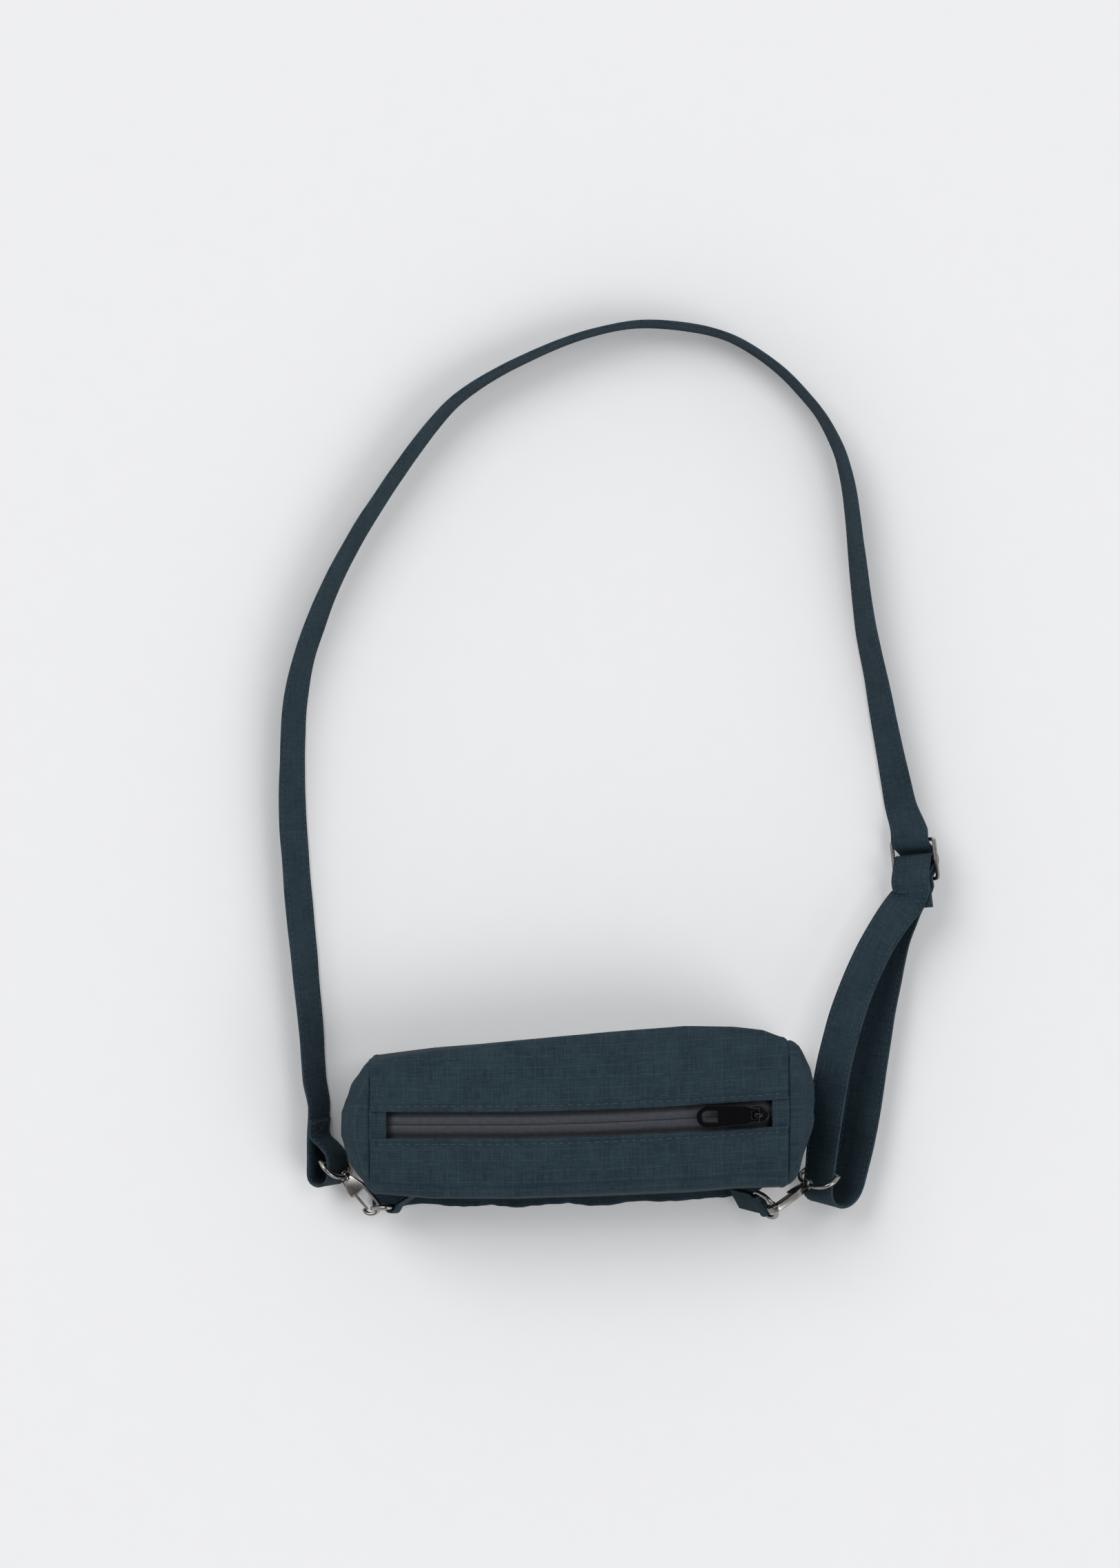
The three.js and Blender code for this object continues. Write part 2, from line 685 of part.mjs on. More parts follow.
// Left end: the strap passes through the hook's eye and is sewn back on itself.
const LEFT_END = { across: -0.847, foot: -30, sewnTop: 2.2, sewnFoot: -8, lean: 66 };
const leftWidth = widthDirection(v3(0, 1, 0), LEFT_END.lean);
const leftOut = v3(Math.sin(radians(LEFT_END.lean)), 0, Math.cos(radians(LEFT_END.lean)));

const leftX = routePoint(LEFT_END.across, 0).x;

function leftEnd() {
  const place = (y, out) => ({
    center: v3(leftX, y, restingLevel(LEFT_END.lean)).addScaledVector(leftOut, out),
    width: leftWidth,
  });
  const foot = place(LEFT_END.foot, 0);
  const footBack = place(LEFT_END.foot, LEFT_LOOP_DEPTH);
  const turn = halfTurn(footBack.center, foot.center, v3(0, -1, 0), leftWidth);
  const back = [
    place(LEFT_END.sewnTop, sewnStep),
    place(LEFT_END.sewnFoot, sewnStep),
    place(LEFT_END.sewnFoot * 1.6, LEFT_LOOP_DEPTH * 0.55),
    place(LEFT_END.sewnFoot * 2.3, LEFT_LOOP_DEPTH * 0.94),
    footBack,
  ];
  const front = [foot, place(LEFT_END.foot * 0.67, 0), place(LEFT_END.sewnFoot, 0)];
  return { back, turn, front };
}

function strapSolid() {
  const left = leftEnd();
  const route = routeStations(STRAP_ROUTE);
  const lower = routeStations(LOWER_LAYER);
  const upper = routeStations(UPPER_LAYER, -1);
  const foot = lower[lower.length - 1];
  const rise = upper[0];
  const turnWidth = foot.width.clone().add(rise.width).normalize();
  const outwards = v3(-Math.sin(radians(10)), -Math.cos(radians(10)), 0);
  const turn = halfTurn(foot.center, rise.center, outwards, turnWidth);
  const wrapped = wrappedEnd();
  const leftBack = strapStrip([...left.back, ...left.turn.slice(0, 4)]);
  const main = strapStrip([
    ...left.turn.slice(3),
    ...left.front,
    ...route.slice(1),
    ...runningStrap(),
    ...lower.slice(1),
    ...turn.slice(0, 4),
  ]);
  const upperLayer = strapStrip([
    ...turn.slice(3),
    ...upper,
    ...wrapped.upper,
  ]);
  const shortEnd = strapStrip([
    ...wrapped.under,
    { center: atAdjuster(barReach + 16, shortEndOver - FIT_GAP), width: adjusterWidth },
  ]);
  return joined(main, leftBack, upperLayer, shortEnd);
}

function boxSolid(width, depth, height, x, y, z) {
  return solidFrom(moved(new THREE.BoxGeometry(width, depth, height), x, y, z));
}

// Three-bar adjuster in its own frame: X across the strap, Y along it, Z out.
function adjusterSolid() {
  const outerX = ADJUSTER_INNER_WIDTH / 2 + ADJUSTER_BAR;
  const outerY = ADJUSTER_LENGTH / 2;
  const outline = new THREE.Shape();
  const corner = ADJUSTER_BAR * 1.2;
  outline.absarc(outerX - corner, outerY - corner, corner, 0, Math.PI / 2, false);
  outline.absarc(-outerX + corner, outerY - corner, corner, Math.PI / 2, Math.PI, false);
  outline.absarc(-outerX + corner, -outerY + corner, corner, Math.PI, Math.PI * 1.5, false);
  outline.absarc(outerX - corner, -outerY + corner, corner, Math.PI * 1.5, Math.PI * 2, false);
  const plate = new THREE.ExtrudeGeometry(outline, {
    depth: ADJUSTER_THICKNESS,
    bevelEnabled: false,
    curveSegments: 5,
  });
  const holeLength = (ADJUSTER_LENGTH - 3 * ADJUSTER_BAR) / 2;
  const holePlace = (holeLength + ADJUSTER_BAR) / 2;
  const hole = (side) =>
    boxSolid(ADJUSTER_INNER_WIDTH, holeLength, ADJUSTER_BAR * 3, 0, side * holePlace, 0);
  return solidFrom(moved(plate, 0, 0, -ADJUSTER_THICKNESS / 2))
    .subtract(hole(1))
    .subtract(hole(-1));
}

// Hook parts lie along X from the eye's bar to the claw, and the claw opens in XY.
const bodyStart = EYE_DEPTH + EYE_BASE_LENGTH + FIT_GAP;
const clawCenter = bodyStart + CLAW_LENGTH - CLAW_OUTER_RADIUS;
const gatePivot = bodyStart + CLAW_LENGTH - GATE_PIVOT_FROM_END;
const gateLine = -(CLAW_INNER_RADIUS - FIT_GAP - GATE_WIDTH / 2);

function alongX(radius, from, to, sides = 12) {
  const rod = new THREE.CylinderGeometry(radius, radius, to - from, sides);
  rod.rotateZ(Math.PI / 2);
  return solidFrom(moved(rod, (from + to) / 2, 0, 0));
}

// The eye: a D of wire with a bored base block, straight bar at X = 0.
function hookEye() {
  const half = EYE_INNER_WIDTH / 2 + WIRE_RADIUS;
  const path = [v3(0, -half, 0), v3(0, -half / 3, 0), v3(0, half / 3, 0), v3(0, half, 0)];
  const bends = 9;
  const depth = EYE_DEPTH + WIRE_RADIUS;
  for (let k = 1; k < bends; k += 1) {
    const turn = Math.PI / 2 - (k / bends) * Math.PI;
    path.push(v3(depth * Math.cos(turn) ** 0.45, half * Math.sin(turn), 0));
  }
  const base = alongX(EYE_BASE_RADIUS, EYE_DEPTH, EYE_DEPTH + EYE_BASE_LENGTH);
  const bore = alongX(POST_RADIUS + FIT_GAP * 1.5, EYE_DEPTH - WIRE_RADIUS * 2, bodyStart);
  return wire(path, WIRE_RADIUS, true).add(base).subtract(bore);
}

function hookBody() {
  const reach = CLAW_INNER_RADIUS;
  const outer = CLAW_OUTER_RADIUS;
  const tip = clawCenter - 1.8;
  const shoulder = gatePivot + GATE_BOSS_RADIUS + FIT_GAP * 2;
  const outline = new THREE.Shape();
  outline.moveTo(bodyStart, -COLLAR_RADIUS);
  outline.lineTo(gatePivot - GATE_BOSS_RADIUS, -outer + 0.4);
  outline.lineTo(gatePivot + GATE_BOSS_RADIUS, -outer + 0.4);
  outline.lineTo(shoulder, -reach * 0.4);
  outline.lineTo(shoulder, reach);
  outline.lineTo(clawCenter, reach);
  outline.absarc(clawCenter, 0, reach, Math.PI / 2, -Math.PI / 2, true);
  outline.lineTo(tip, -reach);
  outline.lineTo(tip, -outer * 0.92);
  outline.lineTo(clawCenter, -outer);
  outline.absarc(clawCenter, 0, outer, -Math.PI / 2, Math.PI / 2, false);
  outline.lineTo(gatePivot, outer);
  outline.lineTo(bodyStart, COLLAR_RADIUS);
  outline.closePath();
  const plate = new THREE.ExtrudeGeometry(outline, {
    depth: CLAW_THICKNESS,
    bevelEnabled: false,
    curveSegments: 12,
  });
  const pivotY = gateLine;
  const pin = new THREE.CylinderGeometry(GATE_PIN_RADIUS, GATE_PIN_RADIUS, CLAW_THICKNESS * 0.9, 10);
  pin.rotateX(Math.PI / 2);
  const fork = boxSolid(
    GATE_BOSS_RADIUS * 2 + FIT_GAP * 4 + outer,
    outer,
    GATE_THICKNESS + FIT_GAP * 2,
    gatePivot + outer / 2,
    pivotY - outer / 2 + GATE_BOSS_RADIUS + FIT_GAP,
    0,
  );
  const post = alongX(POST_RADIUS, EYE_DEPTH - WIRE_RADIUS, bodyStart + 1, 10);
  const rivetEnd = EYE_DEPTH - FIT_GAP;
  const rivet = alongX(RIVET_RADIUS, rivetEnd - RIVET_LENGTH, rivetEnd, 10);
  return joined(
    solidFrom(moved(plate, 0, 0, -CLAW_THICKNESS / 2)).subtract(fork),
    solidFrom(moved(pin, gatePivot, pivotY, 0)),
    post,
    rivet,
  );
}

// The gate's own origin is the middle of its pivot; it closes on the inside of the claw's tip.
function hookGate() {
  const length = clawCenter - gatePivot;
  const outline = new THREE.Shape();
  outline.absarc(0, 0, GATE_BOSS_RADIUS, Math.PI * 0.12, Math.PI * 1.88, false);
  outline.lineTo(length, -GATE_WIDTH / 2);
  outline.lineTo(length, GATE_WIDTH / 2);
  outline.closePath();
  const hole = new THREE.Path();
  hole.absarc(0, 0, GATE_PIN_RADIUS + FIT_GAP, 0, Math.PI * 2, true);
  outline.holes.push(hole);
  const plate = new THREE.ExtrudeGeometry(outline, {
    depth: GATE_THICKNESS,
    bevelEnabled: false,
    curveSegments: 12,
  });
  return solidFrom(moved(plate, 0, 0, -GATE_THICKNESS / 2));
}

// D ring in its own frame: straight bar along Y at X = 0, round side towards +X.
function dRing() {
  const half = D_RING_INNER_WIDTH / 2 + WIRE_RADIUS;
  const path = [v3(0, -half, 0), v3(0, -half / 3, 0), v3(0, half / 3, 0), v3(0, half, 0)];
  const bends = 11;
  for (let k = 1; k < bends; k += 1) {
    const turn = Math.PI / 2 - (k / bends) * Math.PI;
    path.push(v3(D_RING_DEPTH * Math.cos(turn) ** 0.75, half * Math.sin(turn), 0));
  }
  return wire(path, WIRE_RADIUS, true);
}

// Fabric tab folded round the ring's straight bar: two layers that meet towards its root.
function ringTab(length) {
  const eye = WIRE_RADIUS + FIT_GAP * 1.5;
  const outside = eye + TAB_THICKNESS;
  const loopSteps = 8;
  const ring = (radius) => {
    const points = [];
    for (let k = 0; k <= loopSteps; k += 1) {
      const turn = Math.PI / 2 - (k / loopSteps) * Math.PI;
      points.push([radius * Math.cos(turn), radius * Math.sin(turn)]);
    }
    return points;
  };
  const outline = new THREE.Shape();
  const outer = ring(outside);
  outline.moveTo(-length, TAB_THICKNESS);
  outer.forEach(([x, z]) => outline.lineTo(x, z));
  outline.lineTo(-length, -TAB_THICKNESS);
  outline.closePath();
  const hole = new THREE.Path();
  hole.moveTo(-eye * 2.4, 0);
  ring(eye).reverse().forEach(([x, z]) => hole.lineTo(x, z));
  hole.closePath();
  outline.holes.push(hole);
  const strip = new THREE.ExtrudeGeometry(outline, { depth: TAB_WIDTH, bevelEnabled: false });
  strip.rotateX(Math.PI / 2);
  return solidFrom(moved(strip, 0, TAB_WIDTH / 2, 0));
}

// Each hook hangs between its strap loop and its D ring. Heading and climb give its direction,
// claw_side the way that the claw's flat side faces, ring_bar the run of the D ring's straight bar, ring_reach and tab_reach which way the ring and
// its tab stand from that bar.
const upperStations = routeStations(UPPER_LAYER, -1);
const rightHold = upperStations[ROUTE_STEPS_PER_ROW];
const rightInward = v3(0, 1, 0).cross(rightHold.width).normalize();
const EYE_SEAT = STRAP_THICKNESS / 2 + WIRE_RADIUS + FIT_GAP * 6.5;
const HOOKS = [
  {
    side: "left",
    bar: v3(leftX, LEFT_END.foot + EYE_DEPTH * 0.75, restingLevel(LEFT_END.lean))
      .addScaledVector(leftOut, LEFT_LOOP_DEPTH - EYE_SEAT),
    strapWidth: leftWidth,
    heading: -48,
    climb: 12,
    claw_side: v3(-0.196, 0.098, 0.976),
    ring_bar: v3(-0.196, 0.098, 0.976),
    ring_reach: v3(-0.98, -0.052, -0.192),
    tab_reach: v3(0.819, 0.563, 0.108),
  },
  {
    side: "right",
    bar: rightHold.center.clone().addScaledVector(rightInward, EYE_SEAT),
    strapWidth: rightHold.width,
    heading: 213,
    climb: 20,
    claw_side: v3(-0.5, 0.83, 0.2),
    ring_bar: v3(-0.423, 0.792, 0.436),
    ring_reach: v3(0.6, -0.116, 0.792),
    tab_reach: v3(-0.627, 0.096, -0.773),
  },
];

function hookDirection({ heading, climb }) {
  const level = Math.cos(radians(climb));
  return v3(
    level * Math.cos(radians(heading)),
    level * Math.sin(radians(heading)),
    Math.sin(radians(climb)),
  );
}

// A group whose own X runs along one direction and whose Y is as near as can be to another.
function placedGroup(origin, xAxis, nearY) {
  const x = xAxis.clone().normalize();
  const z = x.clone().cross(nearY).normalize();
  const y = z.clone().cross(x);
  const group = new THREE.Group();
  group.position.copy(origin);
  group.quaternion.setFromRotationMatrix(new THREE.Matrix4().makeBasis(x, y, z));
  return group;
}

const material = (color, roughness, metalness) =>
  new THREE.MeshStandardMaterial({ color, roughness, metalness });

function named(name, solid, look) {
  const mesh = new THREE.Mesh(geometryFrom(solid), look);
  mesh.name = name;
  return mesh;
}

const ripstop = material(0x2a373f, 0.75, 0);
const tapeLook = material(0x46474d, 0.6, 0);
const enamel = material(0x08080a, 0.25, 0);
const nickel = material(0x9a948f, 0.25, 1);

const bag = new THREE.Group();
bag.add(named("bag_shell", bagShell(), ripstop));
bag.add(named("zip_tape_upper", zipTape(1), tapeLook));
bag.add(named("zip_tape_lower", zipTape(-1), tapeLook));
bag.add(named("zip_end_left", zipEnd(-1), ripstop));
bag.add(named("zip_end_right", zipEnd(1), ripstop));

const slider = zipSliderParts();
bag.add(named("zip_slider", slider.solid, enamel));
const pullerGroup = new THREE.Group();
pullerGroup.position.set(slider.x, slider.y, slider.pin);
pullerGroup.rotation.z = radians(PULLER_TURN);
pullerGroup.add(named("zip_puller", zipPuller(), enamel));
bag.add(pullerGroup);

bag.add(named("strap", strapSolid(), ripstop));
const adjuster = placedGroup(adjusterCenter, adjusterWidth, adjusterDown.clone().negate());
adjuster.add(named("strap_slider", adjusterSolid(), nickel));
bag.add(adjuster);

const bagSurround = bagSkin(-FIT_GAP);
for (const hook of HOOKS) {
  const direction = hookDirection(hook);
  const eye = placedGroup(hook.bar, direction, hook.strapWidth);
  eye.add(named(`hook_eye_${hook.side}`, hookEye(), nickel));

  const spine = hook.claw_side.clone().cross(direction);
  const claw = placedGroup(hook.bar, direction, spine);
  claw.add(named(`hook_body_${hook.side}`, hookBody(), nickel));
  const gateGroup = new THREE.Group();
  gateGroup.position.set(gatePivot, gateLine, 0);
  gateGroup.add(named(`hook_gate_${hook.side}`, hookGate(), nickel));
  claw.add(gateGroup);

  const held = clawCenter + CLAW_INNER_RADIUS - FIT_GAP * 2 - WIRE_RADIUS;
  const ringBar = hook.bar
    .clone()
    .addScaledVector(direction, held)
    .addScaledVector(hook.ring_reach.clone().normalize(), -D_RING_DEPTH);
  const ring = placedGroup(ringBar, hook.ring_reach, hook.ring_bar);
  ring.add(named(`d_ring_${hook.side}`, dRing(), nickel));

  const tab = placedGroup(ringBar, hook.tab_reach.clone().negate(), hook.ring_bar);
  tab.updateMatrixWorld(true);
  const tabGeometry = geometryFrom(ringTab(TAB_LENGTH)).applyMatrix4(tab.matrixWorld);
  const tabSolid = solidFrom(tabGeometry).subtract(bagSurround);
  bag.add(eye, claw, ring, named(`ring_tab_${hook.side}`, tabSolid, ripstop));
}

export default bag;
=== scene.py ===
import math

import bmesh
import bpy
import numpy as np
from mathutils import Matrix, Vector, noise


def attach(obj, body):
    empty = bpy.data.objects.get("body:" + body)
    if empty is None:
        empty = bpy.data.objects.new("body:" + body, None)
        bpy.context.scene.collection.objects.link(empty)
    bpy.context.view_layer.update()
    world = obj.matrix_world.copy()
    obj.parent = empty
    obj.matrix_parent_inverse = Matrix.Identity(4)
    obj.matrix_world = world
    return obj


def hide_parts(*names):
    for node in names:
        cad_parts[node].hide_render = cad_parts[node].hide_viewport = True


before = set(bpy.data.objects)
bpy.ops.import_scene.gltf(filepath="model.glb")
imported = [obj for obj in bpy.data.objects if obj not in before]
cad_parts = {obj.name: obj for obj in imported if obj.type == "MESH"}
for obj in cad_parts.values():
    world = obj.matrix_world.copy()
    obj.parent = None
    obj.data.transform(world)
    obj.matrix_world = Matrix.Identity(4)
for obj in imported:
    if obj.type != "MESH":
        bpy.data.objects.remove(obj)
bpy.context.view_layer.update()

MM = 0.001
UP = np.array([0.0, 0.0, 1.0])

# Camera straight above, at the photograph's distance
CAMERA_PLACE = (-10.8, 195.2, 2600.0)
VIEW_HEIGHT = 909.6
SENSOR_HEIGHT = 36.0
FAR_CLIP = 20000.0

# Studio: floor and soft suns, each with where it stands, its spread in degrees and its power
FLOOR_SIZE = 9000.0
FLOOR_LEVEL = -0.2
SKY_STRENGTH = 1.02
SUNS = {
    "window_side": ((-1.5, 1.55, 2.2), 36, 1.25),
    "fill_side": ((1.7, -1.05, 2.0), 36, 0.88),
    "high_side": ((1.0, 0.75, 2.6), 24, 0.4),
}

# Bag body
BAG_LENGTH = 237.0
BAG_HEIGHT = 96.0
BAG_DEPTH = 66.0
FACE_CROWN = 5.0
END_BULGE_LEFT = 17.0
END_BULGE_RIGHT = 16.0
CLOTH = 1.6
BACK_CORNER_RADIUS = 9.0
FACE_CORNER_RADIUS = 7.0
WALL_BULGE = 1.5
FLANGE_WIDTH = 8.0
FLANGE_THICKNESS = 1.0
FLANGE_LEAST_SHARE = 0.35
FLANGE_END_SHARE = 0.9
FLANGE_FADE = 22.0
FLANGE_CORNER = 4.5
FLANGE_LIFT = 0.35
RIPPLE_LENGTH = 41.0
RIPPLE_HEIGHT = 1.2
SEAM_DEPTH = 2.4
SEAM_REACH = 1.7
SEAM_RIDGE = 0.6
SEAM_ON_WALLS = 0.55

# Zip
SLOT_WIDTH = 15.4
SLOT_LEVEL = 2.6
SLOT_SLOPE = 7.4
TAPE_SLIT = 0.14
TAPE_WIDTH = 12.5
TAPE_DEPTH = 3.2
TAPE_THICKNESS = 0.7
TAPE_WAVE = 0.3
TAPE_EDGE_SINK = 1.8
TAPE_END_SINK = 2.8
COIL_RISE = 0.4
SLIT_SINK = 0.3
END_TAB_FOLD = 0.5
END_TAB_SLOPE = 0.35
END_TAB_RIB = 0.12
END_TAB_THICKNESS = 0.8
ZIP_END_LENGTH = 7.6
SLIDER_LENGTH = 12.0
SLIDER_WIDTH = 9.4
SLIDER_HEIGHT = 3.4
SLIDER_FROM_END = 17.5
BRIDGE_WIDTH = 2.6
BRIDGE_INNER_RADIUS = 1.6
BRIDGE_OUTER_RADIUS = 3.0
PULLER_LENGTH = 35.0
PULLER_WIDE = 13.0
PULLER_NARROW = 10.6
PULLER_THICKNESS = 1.8
PULLER_HOLE_LENGTH = 8.6
PULLER_HOLE_WIDTH = 6.4
PULLER_PIN_RADIUS = 0.9
PULLER_TURN = 2.0

# Strap
STRAP_WIDTH = 25.0
STRAP_THICKNESS = 1.8
STRAP_LIFT = 0.3
ARCH_LENGTH = 463.0
HALF_ARCH = 178.0
LEFT_LOOP_DEPTH = 12.5

# Metal fittings
WIRE_RADIUS = 1.4
EYE_INNER_WIDTH = 28.0
EYE_DEPTH = 12.0
EYE_BASE_LENGTH = 2.8
EYE_BASE_RADIUS = 3.0
POST_RADIUS = 1.2
RIVET_RADIUS = 2.1
RIVET_LENGTH = 1.6
CLAW_LENGTH = 27.0
CLAW_THICKNESS = 4.2
CLAW_INNER_RADIUS = 3.6
CLAW_OUTER_RADIUS = 5.6
COLLAR_RADIUS = 3.2
GATE_THICKNESS = 1.8
GATE_WIDTH = 1.2
GATE_PIVOT_FROM_END = 18.6
GATE_BOSS_RADIUS = 1.8
GATE_PIN_RADIUS = 0.7
D_RING_INNER_WIDTH = 16.0
D_RING_DEPTH = 12.0
TAB_WIDTH = 15.0
TAB_LENGTH = 22.0
TAB_THICKNESS = 1.5
ADJUSTER_LENGTH = 25.0
ADJUSTER_INNER_WIDTH = 26.4
ADJUSTER_BAR = 2.2
ADJUSTER_THICKNESS = 1.8
FIT_GAP = 0.3

# Sewing
THREAD_RADIUS = 0.26
ZIP_STITCH_PITCH = 5.0
ZIP_STITCH_LENGTH = 3.3
ZIP_STITCH_INSET = 3.0
ZIP_STITCH_SUNK = 0.38
STRAP_STITCH_PITCH = 3.4
STRAP_STITCH_LENGTH = 2.4
STRAP_STITCH_INSET = 2.1
STRAP_STITCH_SINK = 0.28
STRAP_FOLD_RISE = 0.1
STRAP_THREAD_RADIUS = 0.2
BOX_INSET = 3.2
BOX_STITCH_PITCH = 2.6
BOX_STITCH_LENGTH = 2.0
BOX_THREAD_RADIUS = 0.22

HALF_LENGTH = BAG_LENGTH / 2
HALF_HEIGHT = BAG_HEIGHT / 2

# Shares of half the height along the bag: face edges, then back edges
BAG_SECTIONS = np.array([
    [-1, 0.81, 0.76, 0.78, 0.8],
    [-0.7, 0.92, 0.82, 0.86, 0.87],
    [-0.3, 1.03, 0.815, 0.92, 0.88],
    [0.1, 1.13, 0.775, 0.97, 0.86],
    [0.5, 1.21, 0.735, 1.02, 0.82],
    [0.74, 1.2, 0.69, 1.03, 0.77],
    [0.88, 1.16, 0.685, 0.98, 0.75],
    [1, 1.05, 0.68, 0.93, 0.73],
])

# End panels: share of the bulge, what is left of the section, shift of its middle
LEFT_END_RINGS = np.array([[0, 1, 0], [0.33, 0.78, 0], [0.6, 0.58, 0], [0.84, 0.36, 0], [1, 0.18, 0]])
RIGHT_END_RINGS = np.array(
    [[0, 1, 0], [0.33, 0.86, 0.03], [0.6, 0.6, 0.1], [0.84, 0.36, 0.17], [1, 0.12, 0.24]]
)

# Strap over the arch: across as a share of half its width, up as a share of its length, lean
STRAP_ROUTE = [
    (-0.844, -0.004, 66), (-0.842, 0.023, 64.5), (-0.857, 0.051, 62), (-0.865, 0.106, 60.5),
    (-0.883, 0.175, 58.3), (-0.91, 0.285, 55.3), (-0.929, 0.395, 56), (-0.929, 0.45, 60),
    (-0.924, 0.505, 62.2), (-0.903, 0.56, 65.1), (-0.86, 0.615, 67), (-0.802, 0.67, 70.8),
    (-0.729, 0.725, 73), (-0.637, 0.781, 75.7), (-0.538, 0.836, 77.3), (-0.422, 0.891, 81.2),
    (-0.311, 0.924, 84.6), (-0.177, 0.951, 87), (-0.043, 0.973, 88), (0.092, 0.989, 88),
    (0.226, 0.995, 88), (0.36, 0.991, 88), (0.494, 0.977, 88), (0.629, 0.945, 87),
    (0.763, 0.892, 85), (0.846, 0.836, 81.2), (0.88, 0.781, 77), (0.896, 0.725, 73.9),
    (0.913, 0.67, 70.5), (0.931, 0.615, 68), (0.961, 0.56, 65), (0.988, 0.505, 61),
    (1.016, 0.45, 56), (1.045, 0.395, 49),
]

# Doubled stretch below the adjuster: across, up, level in strap widths, lean
LOWER_LAYER = [
    (1.073, 0.283, 0.4, 40), (1.043, 0.255, 0.37, 38), (1.016, 0.228, 0.35, 36),
    (0.987, 0.174, 0.345, 36), (0.963, 0.126, 0.345, 36), (0.942, 0.071, 0.345, 36),
    (0.924, 0.023, 0.345, 36), (0.9, -0.03, 0.375, 40), (0.872, -0.078, 0.4, 46),
]
UPPER_LAYER = [
    (0.772, -0.078, 0.98, 53), (0.778, -0.06, 0.99, 52), (0.786, -0.03, 1.0, 49),
    (0.802, 0.023, 1.0, 43), (0.823, 0.071, 0.97, 41), (0.86, 0.126, 0.91, 41),
    (0.905, 0.174, 0.86, 42), (0.964, 0.222, 0.81, 43), (1.016, 0.254, 0.79, 41),
    (1.06, 0.276, 0.77, 38),
]


def linear(hex_color):
    """A sRGB hex colour as linear light."""
    parts = [int(hex_color[k:k + 2], 16) / 255 for k in (1, 3, 5)]
    turned = [c / 12.92 if c <= 0.04045 else ((c + 0.055) / 1.055) ** 2.4 for c in parts]
    return (*turned, 1.0)


# Materials
def add_node(tree, kind, sources=(), out=0, **settings):
    """Adds a node with its settings; sources go to its sockets in order, or by place or name."""
    node = tree.nodes.new("ShaderNode" + kind)
    for key, value in settings.items():
        if hasattr(node, key):
            setattr(node, key, value)
        else:
            node.inputs[key].default_value = value
    pairs = sources.items() if isinstance(sources, dict) else enumerate(sources)
    for place, source in pairs:
        if isinstance(source, bpy.types.NodeSocket):
            tree.links.new(source, node.inputs[place])
        else:
            node.inputs[place].default_value = source
    return node.outputs[out]


def new_material(name, **values):
    """A material with one principled shader, and its constant values on the shader itself."""
    material = bpy.data.materials.new(name)
    material.use_nodes = True
    tree = material.node_tree
    tree.nodes.clear()
    output = tree.nodes.new("ShaderNodeOutputMaterial")
    shader = tree.nodes.new("ShaderNodeBsdfPrincipled")
    for key, value in values.items():
        shader.inputs[key.replace("_", " ")].default_value = value
    tree.links.new(shader.outputs["BSDF"], output.inputs["Surface"])
    return material, tree, shader


def set_tone(tree, shader, tone, deep, lit):
    """Colours a shader between two hex colours, by tone."""
    color = add_node(tree, "Mix", {0: tone, 6: linear(deep), 7: linear(lit)}, 2, data_type="RGBA")
    tree.links.new(color, shader.inputs["Base Color"])


def set_relief(tree, shader, height, strength, depth):
    """Gives a shader fine relief, its depth in millimetres."""
    relief = add_node(tree, "Bump", {"Height": height}, Strength=strength, Distance=depth * MM)
    tree.links.new(relief, shader.inputs["Normal"])


def weighted_sum(tree, start, parts):
    """A number plus each part times its share."""
    total = start
    for part, share in parts:
        total = add_node(tree, "Math", [part, share, total], operation="MULTIPLY_ADD")
    return total


def cloth_places(tree):
    """Cloth coordinates in millimetres: both together, along the panel, and across it."""
    cloth = add_node(tree, "UVMap", uv_map="cloth")
    along = add_node(tree, "SeparateXYZ", [cloth])
    return cloth, along, along.node.outputs[1]


def yarn_wave(tree, place, pitch):
    """Waves from -1 to 1, one for each yarn."""
    turns = add_node(tree, "Math", [place, 2 * math.pi / pitch], operation="MULTIPLY")
    return add_node(tree, "Math", [turns], operation="SINE")


def thread_line(tree, place, pitch, width):
    """One where a heavier thread runs, every pitch, and 0 between."""
    turns = add_node(tree, "Math", [place, pitch], operation="DIVIDE")
    saw = add_node(tree, "Math", [turns, 0.5], operation="PINGPONG")
    steps = [saw, 0.0, width / pitch, 1.0, 0.0]
    return add_node(tree, "MapRange", steps, interpolation_type="SMOOTHSTEP")


# Ripstop: its grid and yarns in millimetres, then how much each part adds to the tone
RIPSTOP_PITCH = 6.2
RIPSTOP_THREAD = 0.42
YARN_PITCH = 0.9
WARP_LINE_SHARE = 0.55
LINES_FADE_BELOW = 0.38
SLUB_SHARE = 0.6
WEAVE_SHARE = 0.1
SHADE_SHARE = 0.9
YARN_SHARE = 1.3
YARN_STRETCHES = ((0.09, 1.3, 1.0), (1.3, 0.09, 1.0))
TONE_START = -1.55


